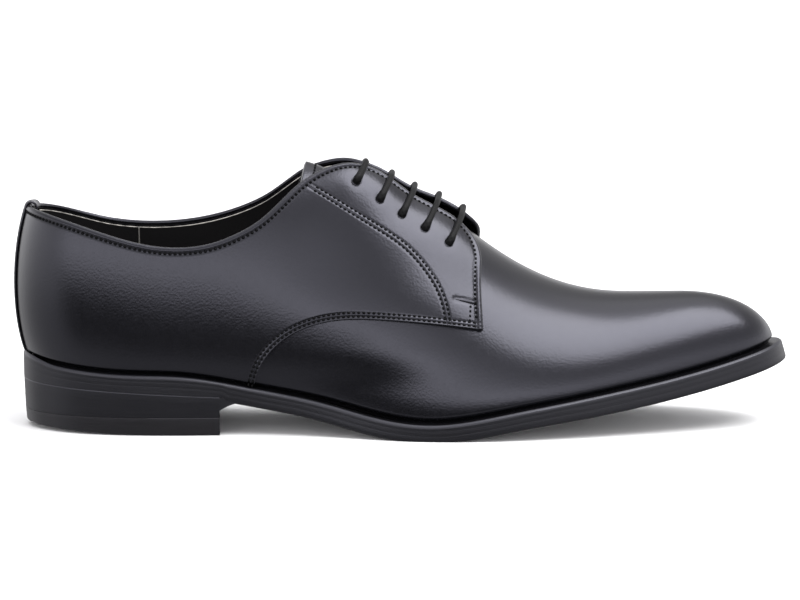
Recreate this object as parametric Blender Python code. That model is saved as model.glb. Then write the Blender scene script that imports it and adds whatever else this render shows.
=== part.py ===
"""Plain-toe derby shoe for the right foot, as separate solids that a shoemaker would put together.

The toe points along +X, the outer (lateral) side faces -Y and the floor is Z = 0. All sizes and
tables are millimetres; the meshes are written in metres and centred over the floor at the end.
"""

import bmesh
import bpy
import numpy as np
from mathutils import Matrix

MM = 0.001

# Driving sizes of the last and the bottom
FEATHER_BACK = 3.4
FEATHER_TOE = 298.3
TOE_TIP_Y = 2.0
SOLE_THICK = 7.2
SOLE_TOE_EXTRA = 0.8
HEEL_BREAST = 79.5
HEEL_SEAM_BACK = 18.8
HEEL_SEAM_FRONT = 14.8
BREAST_RUN = 4.0
TOP_PIECE_HIGH = 7.0
HEEL_BACK_BEVEL = 1.7
HEEL_FLAT_FROM = 38.0
HEEL_TAPER = 1.1

# Driving sizes of the upper
VAMP_WALL = 1.5
QUARTER_STEP = 1.2
THROAT_RISE = 1.3
THROAT_FRONT_RISE = 3.4
BACK_STRIP_HALF = 5.0
BACK_STRIP_THICK = 0.9
STRIP_GAP = 0.45
STRIP_FOLD = 0.72
STRIP_TUCK = 7.0
TONGUE_THICK = 2.2
TONGUE_HALF = 24.0
TONGUE_END = 111.7
TONGUE_FRONT = 186.0
LACE_RADIUS = 1.2
LACE_SLACK = 0.8
EYELET_RADIUS = 2.1
INSOLE_THICK = 2.5
GAP = 0.3

# Where the walls of heel and toe turn from straight runs into fans
HEEL_CENTRE = 35.0
TOE_CENTRE = 262.0
FAN_SOFTNESS = 7.0
FAN_POLE = 0.7
NEAR_RIDGE = 0.98
CROWN_DROP = 3.0

# Mesh fineness
STATIONS = 44
LEVELS = 13
SOLE_STATIONS = 40

# The feather line, where the upper meets the sole: half-widths each side of the shoe's long axis
FEATHER = np.array(
    [
        # x, lateral, medial
        (8, 14.0, 14.0),
        (17, 22.6, 22.6),
        (32, 28.6, 28.5),
        (50, 31.0, 30.2),
        (70, 31.0, 29.4),
        (100, 30.4, 26.6),
        (130, 36.0, 29.8),
        (150, 41.8, 37.0),
        (167, 43.8, 43.4),
        (185, 43.4, 47.0),
        (200, 41.2, 47.2),
        (220, 36.6, 44.0),
        (240, 30.8, 38.0),
        (262, 24.0, 30.4),
        (280, 17.2, 22.4),
        (292, 10.2, 14.0),
    ]
)

# The sole's upper side along the shoe
SOLE_TOP = np.array(
    [
        # x, height
        (-4, 28.8),
        (12, 26.8),
        (30, 24.8),
        (48, 23.9),
        (64, 23.4),
        (76, 21.9),
        (90, 19.2),
        (105, 16.4),
        (120, 13.4),
        (136, 9.6),
        (150, 7.2),
        (164, 6.7),
        (178, 8.4),
        (195, 11.5),
        (212, 14.3),
        (230, 17.3),
        (250, 20.9),
        (270, 25.2),
        (288, 29.8),
        (304, 34.4),
    ]
)

# How far the sole's edge stands out from the feather line
SOLE_MARGIN = np.array(
    [
        # x, margin
        (0, 2.9),
        (60, 2.7),
        (105, 2.5),
        (165, 3.0),
        (230, 3.2),
        (298, 3.4),
    ]
)

# The ridge of the instep, its sideways place and its height
CREST = np.array(
    [
        # x, y, height
        (35, 0.0, 116.0),
        (65, 0.5, 113.5),
        (90, 1.2, 111.2),
        (112, 2.0, 108.2),
        (130, 2.6, 102.4),
        (150, 4.4, 92.6),
        (168, 6.6, 82.8),
        (182, 7.2, 72.6),
        (194, 6.8, 64.6),
        (206, 6.0, 58.5),
        (218, 5.0, 54.4),
        (230, 4.0, 52.3),
        (246, 3.0, 51.9),
        (262, 2.4, 52.2),
    ]
)

# Each section of the wall: how far and how high its lower handle reaches from the feather line,
# and how wide its upper handle is as a share of the section's half-width
WALL = np.array(
    [
        # x, out_lateral, out_medial, up, crown
        (3.4, 9.3, 9.3, 18.2, 1.26),
        (35, 7.2, 7.2, 19.0, 1.17),
        (65, 6.5, 6.9, 17.8, 1.06),
        (85, 7.2, 8.6, 17.7, 1.035),
        (102, 7.0, 9.2, 17.0, 0.95),
        (122, 6.0, 8.0, 16.5, 0.76),
        (150, 5.0, 6.2, 17.0, 0.64),
        (180, 4.0, 4.4, 15.0, 0.60),
        (220, 2.6, 2.8, 12.0, 0.62),
        (262, 1.6, 1.6, 11.0, 0.68),
        (298.3, 1.4, 1.4, 6.8, 0.76),
    ]
)

# The top line of the collar; the outer side dips lower, under the ankle bone
TOP_LINE = np.array(
    [
        # x, lateral height, medial height
        (-12, 88.2, 88.2),
        (4, 86.3, 86.6),
        (17, 83.4, 84.0),
        (30, 79.6, 80.8),
        (42, 76.0, 78.7),
        (55, 73.2, 78.0),
        (67, 72.7, 78.9),
        (77, 74.4, 80.9),
        (87, 78.4, 84.4),
        (97, 83.6, 89.2),
        (108, 92.2, 96.6),
        (119, 101.2, 103.6),
        (127, 105.4, 106.4),
        (136, 112.0, 112.0),
    ]
)

# The quarter's cut edges: a rounded arch in side view and a facing with a rounded corner in plan
VAMP_POINT = (180.7, 42.0)
QUARTER_ARCH_CENTRE = (135.0, 12.0)
QUARTER_ARCH_RADII = (42.5, 34.0)
QUARTER_ARCH_POWER = 2.3
FACING_MIDDLE = 2.0
FACING_TOP = (132.0, 5.4)
FACING_FRONT = (166.0, 7.4)
FACING_CORNER = (13.7, 12.5)
FACING_TOP_ROUND = 2.5
FACING_CORNER_FROM = 104.0
THROAT_FRONT = 172.0
THROAT_ROUND = 9.0
VAMP_RELIEF = 7.0

# Each lace bar lies in a plane square to the ridge of the instep, through one pair of eyelets
BAR_X = (136.4, 145.9, 155.4, 164.8, 174.2)
EYELET_FROM_MIDDLE = 18.0
RIDGE_SLOPE = 0.55


def spline(knots, values, x, end_slopes=None):
    """Cubic spline through the knots: natural, or with the given slopes at its two ends."""
    knots, values = np.asarray(knots, float), np.asarray(values, float)
    step = np.diff(knots)
    rise = np.diff(values) / step
    count = len(knots)
    matrix, right = np.zeros((count, count)), np.zeros(count)
    inner = np.arange(1, count - 1)
    matrix[inner, inner - 1] = step[:-1]
    matrix[inner, inner] = 2 * (step[:-1] + step[1:])
    matrix[inner, inner + 1] = step[1:]
    right[inner] = 6 * np.diff(rise)
    matrix[0, 0] = matrix[-1, -1] = 1.0
    if end_slopes is not None:
        matrix[0, :2] = 2 * step[0], step[0]
        matrix[-1, -2:] = step[-1], 2 * step[-1]
        right[0] = 6 * (rise[0] - end_slopes[0])
        right[-1] = 6 * (end_slopes[1] - rise[-1])
    bend = np.linalg.solve(matrix, right)
    x = np.asarray(x, float)
    i = np.clip(np.searchsorted(knots, x) - 1, 0, count - 2)
    a = (knots[i + 1] - x) / step[i]
    b = 1 - a
    curve = ((a**3 - a) * bend[i] + (b**3 - b) * bend[i + 1]) * step[i] ** 2 / 6
    return a * values[i] + b * values[i + 1] + curve


def ease(start, end, x):
    """0 before start, 1 after end, and a smooth S between them; start may be above end."""
    s = np.clip((np.asarray(x, float) - start) / (end - start), 0, 1)
    return s * s * s * (s * (6 * s - 15) + 10)


def outline(column):
    """Dense points of the feather line on one side, round at the heel and at the toe."""
    side = -1 if column == 1 else 1
    ends = (FEATHER_BACK, 0.0), (FEATHER_TOE, TOE_TIP_Y)
    points = np.vstack([ends[0], np.c_[FEATHER[:, 0], side * FEATHER[:, column]], ends[1]])
    along = np.r_[0, np.cumsum(np.hypot(*np.diff(points, axis=0).T))]
    dense = np.linspace(0, along[-1], 3000)
    x = spline(along, points[:, 0], dense, (0, 0))
    y = spline(along, points[:, 1], dense, (side, -side))
    return np.maximum.accumulate(x), y


OUTLINES = {-1: outline(1), 1: outline(2)}


def feather_y(side, x):
    """Sideways place of the feather line on one side, at a station along the shoe."""
    xs, ys = OUTLINES[side]
    return np.interp(x, xs, ys)


def station_x(u):
    """Station along the shoe for u from 0 at the heel to 1 at the toe, close together at both ends."""
    return FEATHER_BACK + (FEATHER_TOE - FEATHER_BACK) * (1 - np.cos(np.pi * np.asarray(u))) / 2


def station_u(x):
    """The u of a station along the shoe."""
    return np.arccos(1 - 2 * (np.asarray(x) - FEATHER_BACK) / (FEATHER_TOE - FEATHER_BACK)) / np.pi


def sole_top(x):
    return spline(SOLE_TOP[:, 0], SOLE_TOP[:, 1], x)


def spine(x):
    """The point on the ridge line that a section starts from: it stops short of heel and toe."""
    soft = FAN_SOFTNESS
    ridge = HEEL_CENTRE + soft * np.logaddexp(0, (x - HEEL_CENTRE) / soft)
    ridge = TOE_CENTRE - soft * np.logaddexp(0, (TOE_CENTRE - ridge) / soft)
    y = spline(CREST[:, 0], CREST[:, 1], ridge)
    z = spline(CREST[:, 0], CREST[:, 2], ridge)
    return ridge, y, z


def section(side, u, t):
    """Point of the last's surface: a cubic arc in the upright plane from ridge line to feather line.

    t runs from 0 at the feather line to 1 at the ridge; a little under 0 goes on down past the sole."""
    u, t = np.broadcast_arrays(np.asarray(u, float), np.asarray(t, float))
    x = station_x(u)
    foot = np.stack([x, feather_y(side, x)], -1)
    ridge_x, ridge_y, ridge_z = spine(x)
    ridge = np.stack([ridge_x, ridge_y], -1)
    reach = foot - ridge
    half = np.linalg.norm(reach, axis=-1)
    out = spline(WALL[:, 0], WALL[:, 1 if side < 0 else 2], x)
    up = spline(WALL[:, 0], WALL[:, 3], x)
    crown = spline(WALL[:, 0], WALL[:, 4], x)
    low = sole_top(x) - 1.2
    handles_w = half, half + out, crown * half
    handles_z = low, low + up, ridge_z - CROWN_DROP * ease(90, HEEL_CENTRE, x), ridge_z
    weights = (1 - t) ** 3, 3 * t * (1 - t) ** 2, 3 * t * t * (1 - t), t**3
    w = sum(k * h for k, h in zip(weights, handles_w))
    z = sum(k * h for k, h in zip(weights, handles_z))
    plan = ridge + reach * (w / half)[..., None]
    return np.concatenate([plan, z[..., None]], -1)


def outward(side, u, t):
    """The unit normal of one side of the last's surface."""
    small = 1e-4
    before, after = np.clip(u - small, 0, 1), np.clip(u + small, 0, 1)
    along = section(side, after, t) - section(side, before, t)
    rise = section(side, u, t + small) - section(side, u, t - small)
    normal = np.cross(along, rise) * -side
    return normal / np.linalg.norm(normal, axis=-1, keepdims=True)


def upper(side, u, t, lift=0.0):
    """The last's surface moved outwards by lift along its normal, which both sides share on the ridge."""
    u, t = np.broadcast_arrays(np.asarray(u, float), np.asarray(t, float))
    below = np.minimum(t, NEAR_RIDGE)
    shared = np.clip((t - NEAR_RIDGE) / (1 - NEAR_RIDGE), 0, 1)[..., None]
    normal = outward(side, u, below) + shared * outward(-side, u, below)
    normal /= np.linalg.norm(normal, axis=-1, keepdims=True)
    return section(side, u, t) + normal * np.asarray(lift)[..., None]


def throat_rise(side, u, t):
    """How far tongue and laces push the facings up, most of all at their front corners."""
    point = section(side, u, t)
    x, from_crest = point[..., 0], np.abs(point[..., 1] - spine(station_x(u))[1])
    rise = THROAT_RISE + (THROAT_FRONT_RISE - THROAT_RISE) * ease(140, 176, x)
    return rise * ease(38, 14, from_crest) * ease(104, 124, x) * ease(190, 180, x)


def quarter_lift(side, u, t):
    """How far the quarter's outside stands off the last."""
    return QUARTER_STEP + throat_rise(side, u, t)


def lining_lift(side, u, t):
    """How far the inside of the wall stands off the last; it follows the facings, not the vamp."""
    return throat_rise(side, u, t) * ease(176, 148, section(side, u, t)[..., 0]) - VAMP_WALL


def level_on(side, x, from_crest):
    """The t at which the section at x lies this far sideways from the ridge."""
    t = np.linspace(0.3, 1, 700)
    u = station_u(x)
    y = section(side, u, t)[:, 1]
    return np.interp(-from_crest, -np.abs(y - spine(np.float64(x))[1]), t)


def material(name, colour, roughness):
    made = bpy.data.materials.new(name)
    made.use_nodes = True
    shader = made.node_tree.nodes["Principled BSDF"]
    shader.inputs["Base Color"].default_value = (*colour, 1.0)
    shader.inputs["Roughness"].default_value = roughness
    shader.inputs["Metallic"].default_value = 0.0
    return made


def solid(name, points, faces, finish=None):
    """A mesh object from points in millimetres; points in the same place are made one."""
    mesh = bpy.data.meshes.new(name)
    mesh.from_pydata((np.asarray(points, float) * MM).tolist(), [], faces)
    work = bmesh.new()
    work.from_mesh(mesh)
    bmesh.ops.delete(work, geom=[v for v in work.verts if not v.link_faces], context="VERTS")
    bmesh.ops.remove_doubles(work, verts=work.verts, dist=0.02 * MM)
    bmesh.ops.dissolve_degenerate(work, edges=work.edges, dist=0.001 * MM)
    bmesh.ops.triangulate(work, faces=work.faces)
    bmesh.ops.recalc_face_normals(work, faces=work.faces)
    work.to_mesh(mesh)
    work.free()
    mesh.shade_smooth()
    mesh.set_sharp_from_angle(angle=0.6)
    made = bpy.data.objects.new(name, mesh)
    bpy.context.scene.collection.objects.link(made)
    if finish is None:
        made.hide_render = True
        made.display_type = "WIRE"
    else:
        mesh.materials.append(finish)
    return made


def grid_faces(rows, columns, start=0, closed=False):
    """Quads of a grid of points; closed joins its last column to its first."""
    faces = []
    for i in range(rows - 1):
        for j in range(columns if closed else columns - 1):
            k = (j + 1) % columns
            a, b = start + i * columns, start + (i + 1) * columns
            faces.append((a + j, a + k, b + k, b + j))
    return faces


def tube_of_rings(rings):
    """Points and faces of a closed body: rings of points joined one to the next, with end caps."""
    count, around = len(rings), len(rings[0])
    points = np.concatenate(rings)
    faces = grid_faces(count, around, 0, True)
    faces.append(tuple(range(around))[::-1])
    faces.append(tuple((count - 1) * around + i for i in range(around)))
    return points, faces


def wall_between(name, inner, outer, finish=None, lowest=0.0):
    """A wall all round the last, between two lifts that are functions of side, u and t.

    Its points are numbered by layer, side, station and level. Both sides share the points of the
    heel seam, the toe seam and the ridge, and the ridge ends in one point over heel and toe."""
    u, t = np.linspace(0, 1, STATIONS), np.linspace(lowest, 1, LEVELS)
    number = np.arange(4 * STATIONS * LEVELS).reshape(2, 2, STATIONS, LEVELS)
    ridge = spine(station_x(u))[0]
    number[:, 1, [0, -1]] = number[:, 0, [0, -1]]
    number[:, 1, :, -1] = number[:, 0, :, -1]
    number[:, :, ridge > TOE_CENTRE - FAN_POLE, -1] = number[:, :1, -1:, -1]
    number[:, :, ridge < HEEL_CENTRE + FAN_POLE, -1] = number[:, :1, :1, -1]
    points, faces = [], []
    for layer, lift in enumerate((outer, inner)):
        for i, side in enumerate((-1, 1)):
            points.append(upper(side, u[:, None], t, lift(side, u[:, None], t)).reshape(-1, 3))
            faces.append(quads(number[layer, i]))
    faces += [quads(number[:, i, :, 0]) for i in (0, 1)]
    faces = [tuple(dict.fromkeys(face)) for face in np.concatenate(faces).tolist()]
    faces = [face for face in faces if len(face) > 2]
    return solid(name, np.concatenate(points), faces, finish)


def quads(number):
    """The faces between neighbours in a grid of point numbers."""
    corners = number[:-1, :-1], number[1:, :-1], number[1:, 1:], number[:-1, 1:]
    return np.stack(corners, -1).reshape(-1, 4)


def prism(name, corners, low, high, axis):
    """A cutter: a flat outline carried along y (axis 1) or along z (axis 2)."""
    corners = np.asarray(corners, float)
    rings = [np.insert(corners, axis, value, axis=1) for value in (low, high)]
    return solid(name, *tube_of_rings(rings))


def change(target, tool, operation):
    """Joins to target, or cuts from it, the solid of another object."""
    step = target.modifiers.new(f"{operation.lower()} {tool.name}", "BOOLEAN")
    step.operation = operation
    step.solver = "EXACT"
    step.object = tool


def quarter_arch(x):
    """Height of the quarter's lower edge in side view, from the sole over the arch to the vamp point."""
    centre, radii, power = QUARTER_ARCH_CENTRE, QUARTER_ARCH_RADII, QUARTER_ARCH_POWER
    back = np.clip((centre[0] - x) / radii[0], 0, 1)
    arch = centre[1] + radii[1] * (1 - back**power) ** (1 / power)
    run = np.clip((x - centre[0]) / (VAMP_POINT[0] - centre[0]), 0, 1)
    return arch - (centre[1] + radii[1] - VAMP_POINT[1]) * run**1.6


def facing_corner(side):
    """Plan outline of one facing's rounded front corner, from the throat round to the side."""
    turn = np.linspace(0.15, np.pi / 2, 8)
    x = FACING_FRONT[0] + FACING_CORNER[0] * np.sin(turn)
    half = FACING_FRONT[1] + FACING_CORNER[1] * (1 - np.cos(turn))
    return np.c_[x, FACING_MIDDLE + side * half]


def quarter_block():
    """The space that the quarters take up: behind the facings' front edges, over the lower edge."""
    front = VAMP_POINT[0]
    lateral = np.vstack([(-30, -80), (front, -80), facing_corner(-1)[::-1]])
    medial = np.vstack([facing_corner(1), (front, 80), (-30, 80)])
    block = prism("quarter_block", np.vstack([lateral, medial]), -20, 160, 2)
    back = QUARTER_ARCH_CENTRE[0] - QUARTER_ARCH_RADII[0]
    turn = np.linspace(0, np.pi / 2, 9)[:-1]
    x = back + QUARTER_ARCH_RADII[0] * (1 - np.cos(turn))
    x = np.r_[x, np.linspace(QUARTER_ARCH_CENTRE[0], VAMP_POINT[0], 6)]
    edge = np.c_[x, quarter_arch(x)]
    corners = np.vstack([(back, -40), edge, (front + 20, VAMP_POINT[1]), (front + 20, -40)])
    change(block, prism("quarter_low_cutter", corners, -90, 90, 1), "DIFFERENCE")
    return block


def vamp_relief():
    """What is taken off the wall's outside to leave the vamp a step lower than the quarters."""
    relief = wall_between(
        "vamp_relief",
        lambda side, u, t: np.zeros(np.broadcast(u, t).shape),
        lambda side, u, t: np.full(np.broadcast(u, t).shape, VAMP_RELIEF),
        lowest=-0.05,
    )
    change(relief, quarter_block(), "DIFFERENCE")
    return relief


def facing_half(x):
    """Half the gap between the facings, which closes in a round end at the front of the throat."""
    top, front = FACING_TOP, FACING_FRONT
    half = top[1] + (front[1] - top[1]) * np.clip((x - top[0]) / (front[0] - top[0]), -0.4, 1)
    end = np.clip((x - THROAT_FRONT + THROAT_ROUND) / THROAT_ROUND, 0, 1)
    return half * np.sqrt(1 - end**2)


def opening_point(side, x, lift):
    """A point of the edge of collar and throat, moved along the surface's normal by lift.

    Behind the instep the edge is the top line, in front of it the facing, with a round corner."""
    u, levels = station_u(x), np.linspace(0.3, 1, 400)
    wall = upper(side, u, levels, np.full(400, QUARTER_STEP))
    top_line = spline(TOP_LINE[:, 0], TOP_LINE[:, 1 if side < 0 else 2], wall[:, 0])
    t = np.interp(0, wall[:, 2] - top_line, levels)
    if x < FACING_CORNER_FROM:
        return upper(side, u, t, np.float64(lift))
    half = facing_half(x)
    if x <= FACING_TOP[0]:
        from_middle = side * (section(side, u, t)[1] - FACING_MIDDLE)
        soft = FACING_TOP_ROUND
        half = soft * np.logaddexp(from_middle / soft, half / soft)
    from_crest = FACING_MIDDLE + side * half - spine(np.float64(x))[1]
    half_of = -1 if from_crest < 0 else 1
    return upper(half_of, u, level_on(half_of, x, abs(from_crest)), np.float64(lift))


def opening_cutter():
    """Opens collar and throat: a plug whose sides stand square to the upper along the opening's edge."""
    x = np.r_[station_x(np.linspace(0, 0.385, 22)), np.linspace(108, 132, 9), 140, 150]
    x = np.r_[x, THROAT_FRONT - THROAT_ROUND * (1 - np.sin(np.linspace(0, np.pi / 2, 6)))]
    levels = []
    for lift in (-8.0, 8.0):
        lateral, medial = ([opening_point(side, at, lift) for at in x] for side in (-1, 1))
        levels.append(np.array(lateral + medial[-2:0:-1]))
    top = levels[1].copy()
    top[:, 2] = 170.0
    return slab("opening_cutter", [top, levels[1], levels[0]], len(x))


def sole_cutter():
    """Trims the upper's lower edge to the sole's upper side."""
    x = np.linspace(-20, 320, 60)
    z = sole_top(np.clip(x, SOLE_TOP[0, 0], SOLE_TOP[-1, 0]))
    corners = np.vstack([np.c_[x, z], (320, -30), (-20, -30)])
    return prism("sole_cutter", corners, -90, 90, 1)


def eyelet_places():
    """(lateral, medial) places of every row of eyelets, each place as (side, u, t)."""
    reach = FACING_MIDDLE - EYELET_FROM_MIDDLE, FACING_MIDDLE + EYELET_FROM_MIDDLE
    return [[place_in_plane(x, y, quarter_lift) for y in reach] for x in BAR_X]


def eyelet_cutter(name, side, u, t):
    """A punch through the facing, square to its surface."""
    path = np.array([upper(side, u, t, np.float64(lift)) for lift in (-6.0, 9.0)])
    return round_bar(name, path, EYELET_RADIUS, 12)


def round_bar(name, path, radius, sides, finish=None):
    """A round bar along a path of points, with closed ends."""
    ahead = np.gradient(path, axis=0)
    ahead /= np.linalg.norm(ahead, axis=1, keepdims=True)
    across = np.cross(ahead[0], (0.0, 0.0, 1.0) if abs(ahead[0, 2]) < 0.8 else (0.0, 1.0, 0.0))
    turn = np.linspace(0, 2 * np.pi, sides, endpoint=False)[:, None]
    rings = []
    for point, way in zip(path, ahead):
        across = across - way * (across @ way)
        across /= np.linalg.norm(across)
        other = np.cross(way, across)
        rings.append(point + radius * (np.cos(turn) * across + np.sin(turn) * other))
    return solid(name, *tube_of_rings(rings), finish)


def make_upper(leather):
    """Vamp and quarters in one hollow wall: cut back to the vamp's level round the quarters' edges."""
    whole = wall_between("upper", lining_lift, quarter_lift, leather)
    change(whole, vamp_relief(), "DIFFERENCE")
    change(whole, opening_cutter(), "DIFFERENCE")
    change(whole, sole_cutter(), "DIFFERENCE")
    for row, pair in enumerate(eyelet_places()):
        for place in pair:
            name = f"eyelet_{row}_{'lateral' if place[0] < 0 else 'medial'}"
            change(whole, eyelet_cutter(name, *place), "DIFFERENCE")
    return whole


def place_in_plane(x, y, lift):
    """(side, u, t) of the lifted surface's point at y in the plane square to the ridge at x."""
    ridge_z = spine(np.float64(x))[2]
    at = float(x)
    for _ in range(12):
        from_crest = y - spine(np.float64(at))[1]
        side = -1 if from_crest < 0 else 1
        u, t = station_u(at), level_on(side, at, abs(from_crest))
        point = upper(side, u, t, lift(side, u, t))
        at += 0.8 * (x + (point[2] - ridge_z) * RIDGE_SLOPE - point[0])
    return side, u, t


def plane_path(x, sideways, lift):
    """Points of the lifted surface across the instep, in the plane square to the ridge at x."""
    places = [place_in_plane(x, y, lift) for y in sideways]
    return np.array([upper(*place, lift(*place)) for place in places])


def tongue_lift(x):
    """The tongue lies under the lace runs and comes up to the vamp at its front end."""
    return -4.8 + 2.9 * ease(172, 182, x)


def make_tongue(leather):
    """A strip over the instep, sewn under the vamp in front and cut straight across behind."""
    stations = np.r_[np.linspace(TONGUE_END, 168, 12), 174, 180, TONGUE_FRONT]
    sideways = FACING_MIDDLE + np.linspace(-TONGUE_HALF, TONGUE_HALF, 11)
    rings = []
    for x in stations:
        top = tongue_lift(np.float64(x))
        over = plane_path(x, sideways, lambda side, u, t: top)
        under = plane_path(x, sideways, lambda side, u, t: top - TONGUE_THICK)
        rings.append(np.vstack([over, under[::-1]]))
    return solid("tongue", *tube_of_rings(rings), leather)


def strip_layer(side, u, outer_t, inner_t, out_lift, in_lift):
    """One face of the back strip: up the outside, round over the top line and down the inside."""
    middle = (out_lift + in_lift) / 2
    centre = upper(side, u, outer_t[-1], np.float64(middle))
    out = upper(side, u, outer_t[-1], np.float64(middle + 1.0)) - centre
    rise = np.cross(out, np.cross((0.0, 0.0, 1.0), out))
    rise /= np.linalg.norm(rise)
    turn = np.linspace(0, np.pi, 9)[1:-1, None]
    fold = centre + (out_lift - middle) * (np.cos(turn) * out + STRIP_FOLD * np.sin(turn) * rise)
    outside = upper(side, u, outer_t, np.full(len(outer_t), out_lift))
    inside = upper(side, u, inner_t, np.full(len(inner_t), in_lift))
    return np.vstack([outside, fold, inside])


def make_back_strip(leather):
    """A narrow strip over the back seam, folded over the top line and down the inside."""
    near = QUARTER_STEP + STRIP_GAP, -VAMP_WALL - STRIP_GAP
    far = near[0] + BACK_STRIP_THICK, near[1] - BACK_STRIP_THICK
    levels, turns = np.linspace(0.02, 1, 400), np.linspace(0, 0.2, 200)
    top_height = spline(TOP_LINE[:, 0], TOP_LINE[:, 1], 4.0)
    rings = []
    for across in np.linspace(-BACK_STRIP_HALF, BACK_STRIP_HALF, 5):
        side = -1 if across < 0 else 1
        u = np.interp(abs(across), np.abs(section(side, turns, 0.5)[:, 1]), turns)
        heights = section(side, u, levels)[:, 2]
        stops = sole_top(0.0) + 0.9, top_height + 0.1, top_height - STRIP_TUCK
        foot, edge, tuck = np.interp(stops, heights, levels)
        outer_t, inner_t = np.linspace(foot, edge, 9), np.linspace(edge, tuck, 4)
        outside = strip_layer(side, u, outer_t, inner_t, *far)
        lining = strip_layer(side, u, outer_t, inner_t, *near)
        rings.append(np.vstack([outside, lining[::-1]]))
    return solid("back_strip", *tube_of_rings(rings), leather)


def edge_plan(side, x, outwards):
    """The feather line's point on one side, moved outwards in plan."""
    small = 1e-3
    u = station_u(x)
    x0, x1 = station_x(np.clip(u - small, 0, 1)), station_x(np.clip(u + small, 0, 1))
    along = np.stack([x1 - x0, feather_y(side, x1) - feather_y(side, x0)], -1)
    along /= np.linalg.norm(along, axis=-1, keepdims=True)
    normal = np.stack([along[..., 1], -along[..., 0]], -1) * -side
    return np.stack([x, feather_y(side, x)], -1) + normal * np.asarray(outwards)[..., None]


def loop_round(outwards, x):
    """Plan points all round the shoe at a distance from the feather line, heel to toe and back."""
    lateral, medial = edge_plan(-1, x, outwards), edge_plan(1, x, outwards)
    return np.vstack([lateral, medial[-2:0:-1]])


def slab(name, levels, x_of_pairs, finish=None):
    """A closed body from rings of equal points, with top and bottom faces as strips across the shoe."""
    points = np.concatenate(levels)
    around = len(levels[0])
    faces = grid_faces(len(levels), around, 0, True)
    for ring in (0, len(levels) - 1):
        start = ring * around
        for i in range(x_of_pairs - 1):
            a, b = start + i, start + i + 1
            c, d = start + (around - i - 1) % around, start + (around - i) % around
            faces.append((a, b, c, d) if i else (a, b, c))
    return solid(name, points, [tuple(dict.fromkeys(f)) for f in faces], finish)


def sole_slope(x):
    return sole_top(x + 0.5) - sole_top(x - 0.5)


def sole_thickness(x):
    return SOLE_THICK + SOLE_TOE_EXTRA * ease(180, 245, x)


def heel_seam(x):
    """The joint between the outsole and the heel under it."""
    return HEEL_SEAM_BACK + (HEEL_SEAM_FRONT - HEEL_SEAM_BACK) * np.clip(x / HEEL_BREAST, -0.1, 1)


def sole_side(plan, down):
    """Points at a depth under the sole's upper side, square to its slope, flat where it meets the floor."""
    x = plan[:, 0]
    slope = sole_slope(x)
    length = np.hypot(1, slope)
    deep = down * sole_thickness(x)
    lowered = np.c_[x + deep * slope / length, plan[:, 1], sole_top(x) - GAP - deep / length]
    over_heel = heel_seam(lowered[:, 0]) + GAP
    share = ease(HEEL_BREAST + BREAST_RUN, HEEL_BREAST + 0.6, lowered[:, 0]) * down
    lowered[:, 2] += share * np.clip(over_heel - lowered[:, 2], 0, None)
    lowered[:, 2] = np.maximum(lowered[:, 2], 0.0)
    return lowered


def make_outsole(rubber):
    """One sole from heel to toe with an arch, a flat ball and toe spring, and a rounded edge."""
    breast = HEEL_BREAST + np.array([1.9, 3.6, 5.4])
    x = np.sort(np.r_[station_x(np.linspace(0, 1, SOLE_STATIONS)), breast])
    margin = spline(SOLE_MARGIN[:, 0], SOLE_MARGIN[:, 1], x)
    profile = ((-0.7, 0.0), (0.0, 0.09), (0.0, 0.86), (-1.0, 1.0))
    levels = [sole_side(loop_round(margin + inset, x), down) for inset, down in profile]
    return slab("outsole", levels, len(x), rubber)


def heel_loop(inset, low):
    """Plan points round the heel from breast to breast, moved inwards from the sole's edge."""
    last = np.interp(HEEL_BREAST, station_x(np.linspace(0, 1, 200)), np.linspace(0, 1, 200))
    x = station_x(np.linspace(0, last, 17))
    outwards = spline(SOLE_MARGIN[:, 0], SOLE_MARGIN[:, 1], x) - inset
    lateral, medial = edge_plan(-1, x, outwards), edge_plan(1, x, outwards)
    plan = np.vstack([lateral[::-1], medial[1:]])
    return np.c_[plan, low(plan[:, 0])]


def heel_bottom(x):
    """Flat on the floor from the breast back, and lifted a little towards the back edge."""
    back = np.clip((HEEL_FLAT_FROM - x) / HEEL_FLAT_FROM, 0, None)
    return HEEL_BACK_BEVEL * back**2


def lofted(name, rings, finish):
    """A closed body through rings that are symmetric from breast to breast."""
    count, around = len(rings), len(rings[0])
    faces = grid_faces(count, around, 0, True)
    pairs = around // 2
    for ring in (0, count - 1):
        start = ring * around
        for i in range(pairs):
            a, b = start + i, start + around - 1 - i
            face = (a, a + 1, b - 1, b)
            faces.append(tuple(dict.fromkeys(face)))
    return solid(name, np.concatenate(rings), faces, finish)


def make_heel_block(rubber):
    """The heel under the outsole, with a fillet that runs from its breast to the sole's underside."""
    rings = [
        heel_loop(0.3, lambda x: heel_seam(x) - GAP / 2),
        heel_loop(0.2 + HEEL_TAPER * 0.6, lambda x: np.full_like(x, TOP_PIECE_HIGH + GAP)),
    ]
    block = lofted("heel_block", rings, rubber)
    corners = [
        (HEEL_BREAST - 4, 9.2),
        (HEEL_BREAST + 0.4, 9.2),
        (HEEL_BREAST + 5.4, 11.9),
        (HEEL_BREAST + 4.2, 12.3),
        (HEEL_BREAST - 4, 12.3),
    ]
    fillet = prism("breast_fillet", corners, -26.0, 24.0, 1)
    change(block, fillet, "UNION")
    return block


def make_top_piece(rubber):
    """The wearing layer under the heel."""
    rings = [
        heel_loop(0.2 + HEEL_TAPER * 0.6, lambda x: np.full_like(x, TOP_PIECE_HIGH)),
        heel_loop(0.2 + HEEL_TAPER, lambda x: heel_bottom(x) + 0.8),
        heel_loop(1.0 + HEEL_TAPER, heel_bottom),
    ]
    return lofted("heel_top_piece", rings, rubber)


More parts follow.
